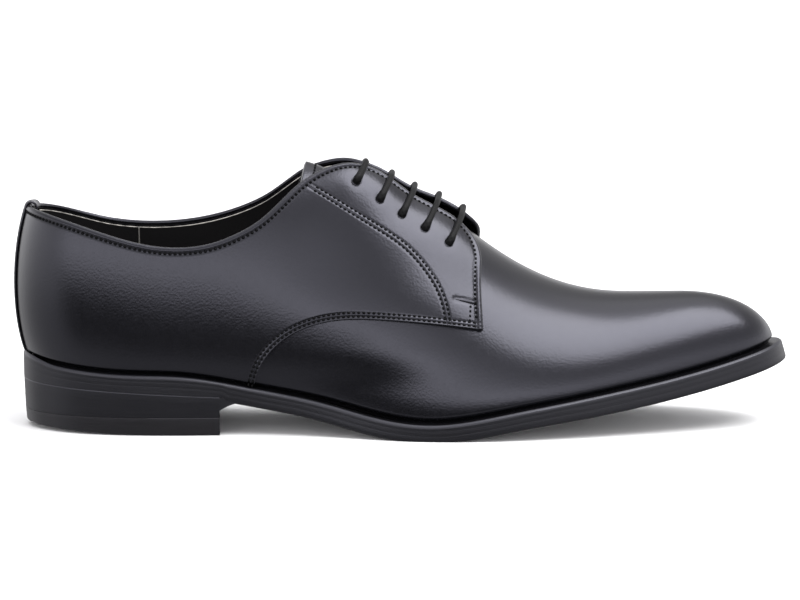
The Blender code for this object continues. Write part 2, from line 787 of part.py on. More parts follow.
def make_insole(lining):
    """The sock that closes the inside over the sole."""
    x = station_x(np.linspace(0, 1, SOLE_STATIONS))
    plan = loop_round(np.full_like(x, -VAMP_WALL - 0.7), x)
    under = sole_top(plan[:, 0]) + GAP
    levels = [np.c_[plan, under + INSOLE_THICK], np.c_[plan, under]]
    return slab("insole", levels, SOLE_STATIONS, lining)


def rounded_path(corners, radius, fineness):
    """A path through corner points with each corner turned on an arc-like curve."""
    path = [corners[0]]
    for before, here, after in zip(corners, corners[1:], corners[2:]):
        back, ahead = before - here, after - here
        trim = min(radius, 0.48 * np.linalg.norm(back), 0.48 * np.linalg.norm(ahead))
        start = here + back / np.linalg.norm(back) * trim
        end = here + ahead / np.linalg.norm(ahead) * trim
        for s in np.linspace(0, 1, fineness):
            path.append((1 - s) ** 2 * start + 2 * s * (1 - s) * here + s * s * end)
    path.append(corners[-1])
    return np.array(path)


def make_lace(cord):
    """A round lace: five bars over the facings, joined by the runs that lie hidden under them."""
    clear = GAP + LACE_RADIUS + LACE_SLACK

    def over(*place):
        return quarter_lift(*place) + clear

    def under(*place):
        return lining_lift(*place) - clear

    edge = FACING_TOP[1] + 1.0
    corners = []
    for row, (x, pair) in enumerate(zip(BAR_X, eyelet_places())):
        way = 1 if row % 2 else -1
        into, out_of = pair[::way]
        across = FACING_MIDDLE + way * np.array([-12.0, -edge, edge, 12.0])
        corners += [upper(*into, under(*into)), upper(*into, over(*into))]
        corners += list(plane_path(x, across, over))
        corners += [upper(*out_of, over(*out_of)), upper(*out_of, under(*out_of))]
        if row + 1 < len(BAR_X):
            for hidden_x in np.linspace(x, BAR_X[row + 1], 4)[1:-1]:
                corners += list(plane_path(hidden_x, [FACING_MIDDLE + way * EYELET_FROM_MIDDLE], under))
    return round_bar("lace", rounded_path(corners, 2.4, 4), LACE_RADIUS, 6, cord)


def centre_over_floor():
    """Moves every piece so that the shoe stands on Z = 0 with its middle over the origin."""
    graph = bpy.context.evaluated_depsgraph_get()
    shown = [o.evaluated_get(graph) for o in bpy.context.scene.objects if not o.hide_render]
    corners = np.array([corner for piece in shown for corner in piece.bound_box])
    x, y, _ = (corners.min(0) + corners.max(0)) / 2
    for piece in bpy.context.scene.objects:
        piece.data.transform(Matrix.Translation((-x, -y, 0.0)))
        piece.data.update()


def main():
    for old in list(bpy.data.objects):
        bpy.data.objects.remove(old)
    leather = material("black calf leather", (0.012, 0.012, 0.014), 0.38)
    lining = material("black lining leather", (0.016, 0.015, 0.015), 0.6)
    rubber = material("black moulded rubber", (0.014, 0.014, 0.015), 0.5)
    cord = material("black waxed lace", (0.015, 0.015, 0.016), 0.55)
    make_upper(leather)
    make_tongue(leather)
    make_back_strip(leather)
    make_insole(lining)
    make_outsole(rubber)
    make_heel_block(rubber)
    make_top_piece(rubber)
    make_lace(cord)
    centre_over_floor()


main()
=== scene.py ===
# %% [markdown]
# # A plain-toe derby shoe
# The imported solids are a fixed frame: they hold the true sizes and places. This lesson dresses them
# with fine surfaces, stitches and finishes. The box of the solids is kept.

import bmesh
import bpy
import numpy as np
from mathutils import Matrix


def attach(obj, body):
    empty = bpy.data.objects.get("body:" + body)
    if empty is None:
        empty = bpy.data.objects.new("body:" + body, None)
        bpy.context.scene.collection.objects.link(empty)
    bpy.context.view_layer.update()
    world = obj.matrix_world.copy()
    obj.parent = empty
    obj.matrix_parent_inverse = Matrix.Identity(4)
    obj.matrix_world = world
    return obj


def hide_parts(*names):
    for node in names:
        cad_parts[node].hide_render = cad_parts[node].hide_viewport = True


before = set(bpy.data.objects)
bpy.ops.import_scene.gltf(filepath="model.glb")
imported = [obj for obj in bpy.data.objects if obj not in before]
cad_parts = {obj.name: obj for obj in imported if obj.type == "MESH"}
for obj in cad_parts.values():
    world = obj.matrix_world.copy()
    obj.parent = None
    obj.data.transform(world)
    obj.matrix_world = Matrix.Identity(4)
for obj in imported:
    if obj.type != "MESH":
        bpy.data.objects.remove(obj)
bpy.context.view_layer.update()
MM = 0.001
ORIGIN = np.array([149.8367, 1.8218, 0.0])

# %% [markdown]
# ## Camera
# A photographer's product view: about a metre away, a little above the shoe, looking straight at its
# outer side. A long lens keeps the shape free of perspective. All shapes below are written in
# millimetres with x = 0 at the back of the heel; ORIGIN is where the frame's origin lies in them.

# %% Camera
AIM = np.array([149.5, 0.0, 48.8])
CAMERA_AWAY, CAMERA_UP = 1000.0, np.radians(7.5)
LENS, SENSOR, NEAREST = 113.02, 36.0, 0.05


def to_frame(points):
    """Design millimetres to the frame's metres: take away ORIGIN, then scale."""
    return (np.asarray(points, float) - ORIGIN) * MM


def new_object(name, data):
    """An object that shows this data, linked to the scene."""
    made = bpy.data.objects.new(name, data)
    bpy.context.scene.collection.objects.link(made)
    return made


lens = bpy.data.cameras.new("camera")
lens.lens = LENS
lens.sensor_width = SENSOR
lens.clip_start = NEAREST
camera = new_object("camera", lens)
camera.location = to_frame(AIM + CAMERA_AWAY * np.array([0, -np.cos(CAMERA_UP), np.sin(CAMERA_UP)]))
camera.rotation_euler = (np.pi / 2 - CAMERA_UP, 0, 0)
bpy.context.scene.camera = camera
print("camera at", [round(c, 3) for c in camera.location])

# %% [markdown]
# ## The last
# A shoemaker pulls leather over a last, a wooden form of the foot. Everything on this shoe follows
# that form. It could be sculpted, but then each piece would have to be fitted to it by hand, so it is
# written once as a function of two parameters: u runs from heel to toe, and t from the feather line,
# where upper and sole meet, up to the ridge of the instep. The numbers are those of the solids.

# %% Tables of the last
SIDES = {-1: "lateral", 1: "medial"}
SIDE_COLUMN = {-1: 1, 1: 2}
FEATHER_BACK, FEATHER_TOE, TOE_TIP_Y, FEATHER_SUNK = 3.4, 298.3, 2.0, 1.2
HEEL_CENTRE, TOE_CENTRE, FAN_SOFTNESS = 35.0, 262.0, 7.0
CROWN_DROP, CROWN_DROP_FROM = 3.0, 90.0

# x, lateral half-width, medial half-width
FEATHER = np.array(
    [
        (8, 14.0, 14.0), (17, 22.6, 22.6), (32, 28.6, 28.5), (50, 31.0, 30.2), (70, 31.0, 29.4),
        (100, 30.4, 26.6), (130, 36.0, 29.8), (150, 41.8, 37.0), (167, 43.8, 43.4), (185, 43.4, 47.0),
        (200, 41.2, 47.2), (220, 36.6, 44.0), (240, 30.8, 38.0), (262, 24.0, 30.4), (280, 17.2, 22.4),
        (292, 10.2, 14.0),
    ]
)
# x, height of the sole's upper side
SOLE_TOP = np.array(
    [
        (-4, 28.8), (12, 26.8), (30, 24.8), (48, 23.9), (64, 23.4), (76, 21.9), (90, 19.2), (105, 16.4),
        (120, 13.4), (136, 9.6), (150, 7.2), (164, 6.7), (178, 8.4), (195, 11.5), (212, 14.3), (230, 17.3),
        (250, 20.9), (270, 25.2), (288, 29.8), (304, 34.4),
    ]
)
# x, y and height of the ridge
CREST = np.array(
    [
        (35, 0.0, 116.0), (65, 0.5, 113.5), (90, 1.2, 111.2), (112, 2.0, 108.2), (130, 2.6, 102.4),
        (150, 4.4, 92.6), (168, 6.6, 82.8), (182, 7.2, 72.6), (194, 6.8, 64.6), (206, 6.0, 58.5),
        (218, 5.0, 54.4), (230, 4.0, 52.3), (246, 3.0, 51.9), (262, 2.4, 52.2),
    ]
)
# x, reach of the lower handle outwards (lateral, medial) and upwards, share of the upper handle
WALL = np.array(
    [
        (3.4, 9.3, 9.3, 18.2, 1.26), (35, 7.2, 7.2, 19.0, 1.17), (65, 6.5, 6.9, 17.8, 1.06),
        (85, 7.2, 8.6, 17.7, 1.035), (102, 7.0, 9.2, 17.0, 0.95), (122, 6.0, 8.0, 16.5, 0.76),
        (150, 5.0, 6.2, 17.0, 0.64), (180, 4.0, 4.4, 15.0, 0.60), (220, 2.6, 2.8, 12.0, 0.62),
        (262, 1.6, 1.6, 11.0, 0.68), (298.3, 1.4, 1.4, 6.8, 0.76),
    ]
)
print("tables:", len(FEATHER), len(SOLE_TOP), len(CREST), len(WALL), "rows")


# %% Splines and soft steps
def spline(knots, values, x, end_slopes=None):
    """Cubic spline through the knots: natural, or with the given slopes at its two ends."""
    knots, values = np.asarray(knots, float), np.asarray(values, float)
    step = np.diff(knots)
    rise = np.diff(values) / step
    count = len(knots)
    matrix, right = np.zeros((count, count)), np.zeros(count)
    inner = np.arange(1, count - 1)
    matrix[inner, inner - 1] = step[:-1]
    matrix[inner, inner] = 2 * (step[:-1] + step[1:])
    matrix[inner, inner + 1] = step[1:]
    right[inner] = 6 * np.diff(rise)
    matrix[0, 0] = matrix[-1, -1] = 1.0
    if end_slopes is not None:
        matrix[0, :2] = 2 * step[0], step[0]
        matrix[-1, -2:] = step[-1], 2 * step[-1]
        right[0] = 6 * (rise[0] - end_slopes[0])
        right[-1] = 6 * (end_slopes[1] - rise[-1])
    bend = np.linalg.solve(matrix, right)
    x = np.asarray(x, float)
    i = np.clip(np.searchsorted(knots, x) - 1, 0, count - 2)
    a = (knots[i + 1] - x) / step[i]
    b = 1 - a
    curve = ((a**3 - a) * bend[i] + (b**3 - b) * bend[i + 1]) * step[i] ** 2 / 6
    return a * values[i] + b * values[i + 1] + curve


def read_table(table, x, column=1):
    """Spline through one column of a table that has x in its first."""
    return spline(table[:, 0], table[:, column], x)


def ease(start, end, x):
    """0 before start, 1 after end, and a smooth S between them; start may be above end."""
    s = np.clip((np.asarray(x, float) - start) / (end - start), 0, 1)
    return s * s * s * (s * (6 * s - 15) + 10)


def bell(x, centre, width):
    """A soft ridge of height one: e to the minus square of the distance in widths."""
    return np.exp(-(((x - centre) / width) ** 2))


def parabola(start, control, end, s):
    """Arc from start to end with its tangents through control: weights (1-s)^2, 2s(1-s) and s^2."""
    return (1 - s) ** 2 * start + 2 * s * (1 - s) * control + s * s * end


def unit(vectors):
    """The same directions with length one."""
    return vectors / np.linalg.norm(vectors, axis=-1, keepdims=True)


def running_length(points):
    """Length along a row of points, from the first one on."""
    return np.r_[0, np.cumsum(np.linalg.norm(np.diff(points, axis=0), axis=1))]


def at_length(where, along, values):
    """Rows of values given along a line, read at other lengths: straight between neighbours."""
    return np.stack([np.interp(where, along, column) for column in values.T], -1)


print("half way, an ease is at", float(ease(0, 2, 1)), "and a bell at", round(float(bell(1, 0, 2)), 3))


# %% Feather line and stations
def feather_line(side):
    """Dense points of the feather line: a spline along its length, square to the axis at its ends."""
    half = side * FEATHER[:, SIDE_COLUMN[side]]
    points = np.vstack([(FEATHER_BACK, 0.0), np.c_[FEATHER[:, 0], half], (FEATHER_TOE, TOE_TIP_Y)])
    along = running_length(points)
    dense = np.linspace(0, along[-1], 30000)
    x = spline(along, points[:, 0], dense, (0, 0))
    return np.maximum.accumulate(x), spline(along, points[:, 1], dense, (side, -side))


FEATHER_LINES = {side: feather_line(side) for side in SIDES}


def feather_y(side, x):
    """Sideways place of the feather line at x."""
    return np.interp(x, *FEATHER_LINES[side])


def station_x(u):
    """x of a station: a cosine spacing, close together at heel and toe."""
    return FEATHER_BACK + (FEATHER_TOE - FEATHER_BACK) * (1 - np.cos(np.pi * np.asarray(u))) / 2


def station_u(x):
    """The u of a station at x."""
    return np.arccos(1 - 2 * (np.asarray(x) - FEATHER_BACK) / (FEATHER_TOE - FEATHER_BACK)) / np.pi


def sole_top(x):
    """Height of the sole's upper side at x."""
    return read_table(SOLE_TOP, x)


print("widest at the ball:", round(np.ptp([feather_y(side, 185) for side in SIDES]), 1), "mm")

# %% The surface of the last
NEAR_RIDGE, NORMAL_STEP = 0.98, 1.5e-3


def ridge_point(x):
    """Point of the ridge that a section starts from: x softly clamped between heel and toe centres."""
    soft = FAN_SOFTNESS
    ridge = HEEL_CENTRE + soft * np.logaddexp(0, (x - HEEL_CENTRE) / soft)
    ridge = TOE_CENTRE - soft * np.logaddexp(0, (TOE_CENTRE - ridge) / soft)
    return ridge, read_table(CREST, ridge), read_table(CREST, ridge, 2)


def last(side, u, t):
    """Cubic arc in an upright plane: from the feather line, out and up, over to the ridge."""
    u, t = np.broadcast_arrays(np.asarray(u, float), np.asarray(t, float))
    x = station_x(u)
    ridge_x, ridge_y, ridge_z = ridge_point(x)
    ridge = np.stack([ridge_x, ridge_y], -1)
    reach = np.stack([x, feather_y(side, x)], -1) - ridge
    half = np.linalg.norm(reach, axis=-1)
    out, up, shoulder = (read_table(WALL, x, column) for column in (SIDE_COLUMN[side], 3, 4))
    low = sole_top(x) - FEATHER_SUNK
    wide = half, half + out, shoulder * half
    high = low, low + up, ridge_z - CROWN_DROP * ease(CROWN_DROP_FROM, HEEL_CENTRE, x), ridge_z
    weights = (1 - t) ** 3, 3 * t * (1 - t) ** 2, 3 * t * t * (1 - t), t**3
    w = sum(k * h for k, h in zip(weights, wide))
    z = sum(k * h for k, h in zip(weights, high))
    return np.concatenate([ridge + reach * (w / half)[..., None], z[..., None]], -1)


def outward(side, u, t):
    """Unit normal: the cross product of small steps along the shoe and up the wall."""
    ahead, behind = np.clip(u + NORMAL_STEP, 0, 1), np.clip(u - NORMAL_STEP, 0, 1)
    along = last(side, ahead, t) - last(side, behind, t)
    rise = last(side, u, t + NORMAL_STEP) - last(side, u, t - NORMAL_STEP)
    return unit(np.cross(along, rise) * -side)


def on_last(side, u, t, lift=0.0):
    """The last's surface moved along its normal by lift; both sides share the normal on the ridge."""
    u, t = np.broadcast_arrays(np.asarray(u, float), np.asarray(t, float))
    below = np.minimum(t, NEAR_RIDGE)
    shared = np.clip((t - NEAR_RIDGE) / (1 - NEAR_RIDGE), 0, 1)[..., None]
    normal = unit(outward(side, u, below) + shared * outward(-side, u, below))
    return last(side, u, t) + normal * np.asarray(lift)[..., None]


print("instep at x = 130 is", round(float(last(-1, station_u(130), 1.0)[2]), 1), "mm high")

# %% [markdown]
# ## Levels of the leather
# The vamp lies on the last. The quarters lie over it, one leather higher, and the tongue and the lace
# push their facings up a little more. Each level could be modelled as a surface of its own. Here it is
# a lift along the last's normal, the same as in the solids, so the pieces fit without trying.

# %% Lifts
VAMP_WALL, QUARTER_STEP = 1.5, 1.2
THROAT_RISE, THROAT_FRONT_RISE, CREST_RISE = 1.3, 3.4, 2.6
# where a rise starts and where it is full: distance from the ridge, or x from behind and from the front
THROAT_NEAR, THROAT_BACK, THROAT_AHEAD, THROAT_STEEPER = (38, 14), (104, 124), (190, 180), (140, 176)
CREST_NEAR, CREST_BACK, CREST_AHEAD = (26, 8), (112, 132), (160, 136)
WAIST_X, WAIST_LONG, WAIST_BULGE, WAIST_TUCK = 136.0, 32.0, 1.5, 1.2
BULGE_HEIGHT, BULGE_TALL, TUCK_HEIGHTS = 47.0, 17.0, (36, 17)
LINING_LEAVES = (176, 148)


def throat_rise(side, u, t):
    """How far the facings stand up: full near the ridge and the front corner, nothing elsewhere."""
    point = last(side, u, t)
    x, from_crest = point[..., 0], np.abs(point[..., 1] - ridge_point(station_x(u))[1])
    rise = THROAT_RISE + (THROAT_FRONT_RISE - THROAT_RISE) * ease(*THROAT_STEEPER, x)
    wide = rise * ease(*THROAT_NEAR, from_crest) * ease(*THROAT_BACK, x) * ease(*THROAT_AHEAD, x)
    return wide + CREST_RISE * ease(*CREST_NEAR, from_crest) * ease(*CREST_BACK, x) * ease(*CREST_AHEAD, x)


def waist_form(side, u, t):
    """The waist's own form: fuller at mid height, drawn in above the sole, a bell along the shoe."""
    x, _, z = np.moveaxis(last(side, u, t), -1, 0)
    full = WAIST_BULGE * bell(z, BULGE_HEIGHT, BULGE_TALL)
    return bell(x, WAIST_X, WAIST_LONG) * (full - WAIST_TUCK * ease(*TUCK_HEIGHTS, z))


def quarter_lift(side, u, t):
    """Outside of the quarter: one leather over the last, plus the throat's rise and the waist's form."""
    return QUARTER_STEP + throat_rise(side, u, t) + waist_form(side, u, t)


def lining_lift(side, u, t):
    """Inside of the wall: it follows the waist and the facings, not the vamp under them."""
    follows = ease(*LINING_LEAVES, last(side, u, t)[..., 0])
    return throat_rise(side, u, t) * follows + waist_form(side, u, t) - VAMP_WALL


print("facing corner stands", round(float(quarter_lift(-1, station_u(176), 0.9)), 1), "mm off the last")

# %% [markdown]
# ## Finishes
# Each finish starts from a real material. One function turns the sRGB colours that we read with our
# eyes into the linear ones that the renderer needs, one adds a node with its settings and links, and
# one feeds the results to the shader.


# %% Helpers for materials
def linear(hex_colour):
    """sRGB hex to linear RGBA: the standard curve, channel by channel."""
    srgb = np.array([int(hex_colour[i : i + 2], 16) for i in (1, 3, 5)]) / 255
    low, high = srgb / 12.92, ((srgb + 0.055) / 1.055) ** 2.4
    return (*np.where(srgb <= 0.04045, low, high), 1.0)


def add(tree, kind, inputs=None, **settings):
    """Adds a node: settings are its properties, inputs are values or sockets by name or number."""
    made = tree.nodes.new(kind)
    for key, value in settings.items():
        setattr(made, key, value)
    for key, value in (inputs or {}).items():
        if isinstance(value, bpy.types.NodeSocket):
            tree.links.new(value, made.inputs[key])
        else:
            made.inputs[key].default_value = value
    return made


def feed(tree, shader, **sockets):
    """Links sockets to the shader's inputs of these names."""
    for key, socket in sockets.items():
        tree.links.new(socket, shader.inputs[key.replace("_", " ")])


def finish(name, **values):
    """A new material, its node tree and its shader, with constant values on the shader's sockets."""
    made = bpy.data.materials.new(name)
    made.use_nodes = True
    shader = made.node_tree.nodes["Principled BSDF"]
    for key, value in values.items():
        shader.inputs[key.replace("_", " ")].default_value = value
    return made, made.node_tree, shader


def per_mm(size):
    """Texture scale that makes one cell of a pattern this many millimetres wide."""
    return 1.0 / (size * MM)


print("middle grey in linear light:", round(linear("#808080")[0], 3))

# %% [markdown]
# ### Black calf leather
# Box calf is chrome-tanned, dyed through and polished to a soft gloss. The eye sees broad soft
# highlights, a fine pebble grain between tiny creases, and cloudiness over centimetres. The grain
# could be a noise alone, but cells that wander a little look more like skin. Real pebbles are about
# 0.5 mm; they are drawn at 0.8 mm so that they show.

# %% Black calf leather
CLOUD, FIBRE, PEBBLE, WANDER, GRAIN_DEEP = 30, 2.2, 0.8, 0.7, 0.12
calf, tree, shader = finish(
    "polished black calf",
    Specular_IOR_Level=0.38,
    Specular_Tint=linear("#ececff"),
    Coat_Weight=0.05,
    Coat_Roughness=0.2,
)
place = add(tree, "ShaderNodeTexCoord").outputs["Object"]
clouds = add(tree, "ShaderNodeTexNoise", {"Vector": place, "Scale": per_mm(CLOUD), "Detail": 3.0})
fibres = add(tree, "ShaderNodeTexNoise", {"Vector": place, "Scale": per_mm(FIBRE), "Detail": 4.0})
shift = {0: fibres.outputs["Color"], "Scale": WANDER * MM}
wander = add(tree, "ShaderNodeVectorMath", shift, operation="SCALE")
moved = add(tree, "ShaderNodeVectorMath", {0: place, 1: wander.outputs[0]}, operation="ADD")
cells = {"Vector": moved.outputs[0], "Scale": per_mm(PEBBLE)}
pebbles = add(tree, "ShaderNodeTexVoronoi", cells, feature="SMOOTH_F1")
both = {0: fibres.outputs["Fac"], 1: 0.12, 2: pebbles.outputs["Distance"]}
grain = add(tree, "ShaderNodeMath", both, operation="MULTIPLY_ADD")
tones = {"Factor": clouds.outputs["Fac"], 6: linear("#030304"), 7: linear("#070708")}
tint = add(tree, "ShaderNodeMix", tones, data_type="RGBA")
even = {"Value": fibres.outputs["Fac"], "From Min": 0.3, "From Max": 0.7, "To Min": 0.24, "To Max": 0.27}
gloss = add(tree, "ShaderNodeMapRange", even)
relief = {"Height": grain.outputs[0], "Strength": 0.3, "Distance": GRAIN_DEEP * MM}
dents = add(tree, "ShaderNodeBump", relief)
feed(tree, shader, Base_Color=tint.outputs[2], Roughness=gloss.outputs[0], Normal=dents.outputs[0])
print(calf.name)

# %% [markdown]
# ### Black lining leather
# Thin sheep leather without polish: its nap scatters the light, so it looks flat and dark. The cut
# edge along the top line is pale, because the dye stays near the surface. A second material could
# show that; a point attribute "raw" keeps it in one.

# %% Black lining leather
NAP, NAP_DEEP = 1.2, 0.15
lining, tree, shader = finish("black sheep lining", Specular_IOR_Level=0.15, Roughness=0.72)
place = add(tree, "ShaderNodeTexCoord").outputs["Object"]
nap = add(tree, "ShaderNodeTexNoise", {"Vector": place, "Scale": per_mm(NAP), "Detail": 3.0})
raw = add(tree, "ShaderNodeAttribute", attribute_name="raw")
tones = {"Factor": raw.outputs["Fac"], 6: linear("#060506"), 7: linear("#b4b0aa")}
tint = add(tree, "ShaderNodeMix", tones, data_type="RGBA")
relief = {"Height": nap.outputs["Fac"], "Strength": 0.2, "Distance": NAP_DEEP * MM}
dents = add(tree, "ShaderNodeBump", relief)
feed(tree, shader, Base_Color=tint.outputs[2], Normal=dents.outputs[0])
print(lining.name)

# %% [markdown]
# ### Black moulded rubber
# Sole rubber with an inked, buffed edge is satin, with fine streaks along the edge from the buffing
# wheel. The heel's top piece is bare rubber, a little paler and browner. Streaks on Object coordinates
# would not turn with the edge, so they follow the piece's own UV map, where u is the length along the
# edge and v the height, in mm. A point attribute marks the sole's top bevel and the heel block's top
# edge, and there a paler colour is painted in as a highlight.

# %% Black moulded rubber
SPECK, BUFF_DEEP = 0.9, 0.1
STREAKS = (0.05, 3.0, 1.0)


def rubber_finish(name, dark, pale):
    """Sole rubber in two tones: streaks along the edge, specks, and a paler painted highlight where marked.
    """
    made, tree, shader = finish(name, Specular_IOR_Level=0.35, Specular_Tint=linear("#f2f2ff"))
    edge = add(tree, "ShaderNodeUVMap", uv_map="along")
    stretched = add(tree, "ShaderNodeMapping", {"Vector": edge.outputs[0], "Scale": STREAKS})
    drawn = {"Vector": stretched.outputs[0], "Scale": 1.0, "Detail": 4.0}
    streaks = add(tree, "ShaderNodeTexNoise", drawn).outputs["Fac"]
    place = add(tree, "ShaderNodeTexCoord").outputs["Object"]
    specks = add(tree, "ShaderNodeTexNoise", {"Vector": place, "Scale": per_mm(SPECK), "Detail": 2.0})
    tones = {"Factor": streaks, 6: linear(dark), 7: linear(pale)}
    inked = add(tree, "ShaderNodeMix", tones, data_type="RGBA")
    # painted highlight: the paler colour #2c2c31 on the marked top edges stands in for the light that they
    # catch
    painted_highlight = add(tree, "ShaderNodeAttribute", attribute_name="painted_highlight")
    highlighted = {"Factor": painted_highlight.outputs["Fac"], 6: inked.outputs[2], 7: linear("#2c2c31")}
    tint = add(tree, "ShaderNodeMix", highlighted, data_type="RGBA")
    gloss = add(tree, "ShaderNodeMapRange", {"Value": streaks, "To Min": 0.28, "To Max": 0.46})
    rough = add(tree, "ShaderNodeMath", {0: streaks, 1: specks.outputs["Fac"]}, operation="ADD")
    relief = {"Height": rough.outputs[0], "Strength": 0.25, "Distance": BUFF_DEEP * MM}
    dents = add(tree, "ShaderNodeBump", relief)
    feed(tree, shader, Base_Color=tint.outputs[2], Roughness=gloss.outputs[0], Normal=dents.outputs[0])
    print(made.name)
    return made


rubber = rubber_finish("buffed sole rubber", "#040405", "#09090b")
top_rubber = rubber_finish("bare heel rubber", "#090808", "#100f0f")

# %% [markdown]
# ### Waxed lace and thread
# The lace is waxed cotton, a round braid whose strands lie in two crossing spirals, rubbed flat by the
# wax. Each strand could be a mesh, but it would be finer than a pixel. The spirals are two sine waves
# on the lace's own UV map, u along the lace in mm and v once around it. The thread is plain polyester
# with a little fluff.

# %% Black waxed lace and thread
STRAND, STRANDS_ROUND, STRAND_DEEP, FLUFF = 1.1, 4.0, 0.12, 0.4
lace_finish, tree, shader = finish("waxed cotton lace", Specular_IOR_Level=0.12, Roughness=0.55)
along = add(tree, "ShaderNodeUVMap", uv_map="along")
parts = add(tree, "ShaderNodeSeparateXYZ", {0: along.outputs[0]})
waves = []
for way in (1.0, -1.0):
    round_it = {0: parts.outputs[1], 1: way * STRANDS_ROUND}
    turn = add(tree, "ShaderNodeMath", round_it, operation="MULTIPLY")
    forward = {0: parts.outputs[0], 1: 1 / STRAND, 2: turn.outputs[0]}
    step = add(tree, "ShaderNodeMath", forward, operation="MULTIPLY_ADD")
    angle = add(tree, "ShaderNodeMath", {0: step.outputs[0], 1: 2 * np.pi}, operation="MULTIPLY")
    waves.append(add(tree, "ShaderNodeMath", {0: angle.outputs[0]}, operation="SINE").outputs[0])
braid = add(tree, "ShaderNodeMath", {0: waves[0], 1: waves[1]}, operation="MAXIMUM")
tones = {"Factor": braid.outputs[0], 6: linear("#050506"), 7: linear("#0d0d0e")}
tint = add(tree, "ShaderNodeMix", tones, data_type="RGBA")
relief = {"Height": braid.outputs[0], "Strength": 0.35, "Distance": STRAND_DEEP * MM}
dents = add(tree, "ShaderNodeBump", relief)
feed(tree, shader, Base_Color=tint.outputs[2], Normal=dents.outputs[0])

thread, tree, shader = finish("polyester thread", Specular_IOR_Level=0.08, Roughness=0.6)
place = add(tree, "ShaderNodeTexCoord").outputs["Object"]
fluff = add(tree, "ShaderNodeTexNoise", {"Vector": place, "Scale": per_mm(FLUFF)})
tones = {"Factor": fluff.outputs["Fac"], 6: linear("#020203"), 7: linear("#060607")}
tint = add(tree, "ShaderNodeMix", tones, data_type="RGBA")
feed(tree, shader, Base_Color=tint.outputs[2])
print(lace_finish.name, "and", thread.name)

# %% [markdown]
# ## From arrays to pieces
# Each piece is a grid of points worked out by numpy. One helper numbers the faces of a grid, another
# puts points and faces into a mesh, welds what lies in one place, turns the faces outwards and hands
# the piece to the frame.

# %% Helpers for meshes
WELD = 0.004
SLOTS = {
    "calf": (calf, "black calf leather"),
    "lining": (lining, "black lining leather"),
    "rubber": (rubber, "black moulded rubber"),
    "top rubber": (top_rubber, "black moulded rubber"),
    "lace": (lace_finish, "black waxed lace"),
    "thread": (thread, "black waxed lace"),
}


def numbered(shape):
    """Point numbers laid out in a grid of this shape."""
    return np.arange(np.prod(shape)).reshape(shape)


def quads(number):
    """Faces between neighbours of a grid of point numbers."""
    corners = number[:-1, :-1], number[1:, :-1], number[1:, 1:], number[:-1, 1:]
    return np.stack(corners, -1).reshape(-1, 4)


def rings(number):
    """The same for rings: the last column joins the first."""
    return quads(np.concatenate([number, number[..., :1]], -1))


def piece(name, points, faces, look, stands_for=(), sharp=None, uv=None, values=None):
    """A mesh from points in mm and faces; points in one place are welded and normals turned outwards.

    uv and values hold one entry for each point: a UV map "along" and named point attributes."""
    mesh = bpy.data.meshes.new(name)
    points = np.asarray(points, float).reshape(-1, 3)
    faces = faces.tolist() if isinstance(faces, np.ndarray) else faces
    mesh.from_pydata(to_frame(points).tolist(), [], faces)
    for key, value in (values or {}).items():
        layer = mesh.attributes.new(key, "FLOAT", "POINT")
        layer.data.foreach_set("value", np.asarray(value, np.float32).ravel())
    if uv is not None:
        layer = mesh.uv_layers.new(name="along")
        corners = np.empty(len(mesh.loops), np.int32)
        mesh.loops.foreach_get("vertex_index", corners)
        layer.data.foreach_set("uv", np.asarray(uv, np.float32).reshape(-1, 2)[corners].ravel())
    work = bmesh.new()
    work.from_mesh(mesh)
    bmesh.ops.remove_doubles(work, verts=work.verts, dist=WELD * MM)
    bmesh.ops.recalc_face_normals(work, faces=work.faces)
    work.to_mesh(mesh)
    work.free()
    mesh.shade_smooth()
    if sharp is not None:
        mesh.set_sharp_from_angle(angle=sharp)
    made = new_object(name, mesh)
    material, slot = SLOTS[look]
    mesh.materials.append(material)
    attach(made, "root")
    if stands_for:
        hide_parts(*stands_for)
    print(f"{name}: {len(mesh.vertices)} points, {len(mesh.polygons)} faces")
    return made


print("finishes:", ", ".join(SLOTS))

# %% [markdown]
# ## Cut edges of the quarters
# A pattern cutter draws the quarter by its edges: the top line, the facing with its rounded crown and
# corner, the front edge, and the lower edge that curves back to the sole. They could be drawn as curves
# and projected, but then they would be off the last. Here each edge is a row of (u, t) places on it.
# The t of an edge point is found where a rising row of values along the wall passes zero.

# %% Levels on the wall
# x, height of the top line on the lateral side, on the medial side
TOP_LINE = np.array(
    [
        (-12, 88.2, 88.2), (4, 86.3, 86.2), (17, 83.4, 82.4), (30, 79.6, 78.7), (42, 76.0, 77.2),
        (55, 73.2, 77.2), (67, 72.7, 78.6), (77, 74.2, 80.9), (87, 77.9, 84.4), (97, 83.9, 89.6),
        (108, 94.2, 97.8), (119, 103.2, 104.8),
    ]
)
FACING_MIDDLE = 2.0
LEVELS = np.linspace(-0.02, 1, 500)


def crossing(values):
    """For each row of values over LEVELS, the level at which it first rises through zero, or the last."""
    after = np.where((values > 0).any(1), (values > 0).argmax(1), len(LEVELS) - 1)
    after = np.clip(after, 1, None)
    rows = np.arange(len(values))
    low, high = values[rows, after - 1], values[rows, after]
    return LEVELS[after - 1] + (LEVELS[after] - LEVELS[after - 1]) * np.clip(low / (low - high), 0, 1)


def level_at_height(side, x, height):
    """The t where the quarter's wall at x reaches a height, which may depend on the wall's own x."""
    wall = on_last(side, station_u(x)[:, None], LEVELS, QUARTER_STEP)
    return crossing(wall[..., 2] - height(wall[..., 0]))


def level_from_crest(side, x, from_crest):
    """The t where the section at x lies this far sideways from the ridge."""
    y = last(side, station_u(x)[:, None], LEVELS)[..., 1]
    return crossing(np.asarray(from_crest)[:, None] - np.abs(y - ridge_point(x)[1][:, None]))


def top_level(side, x):
    """The t of the top line at x, from its table of heights."""
    return level_at_height(side, x, lambda at: read_table(TOP_LINE, at, SIDE_COLUMN[side]))


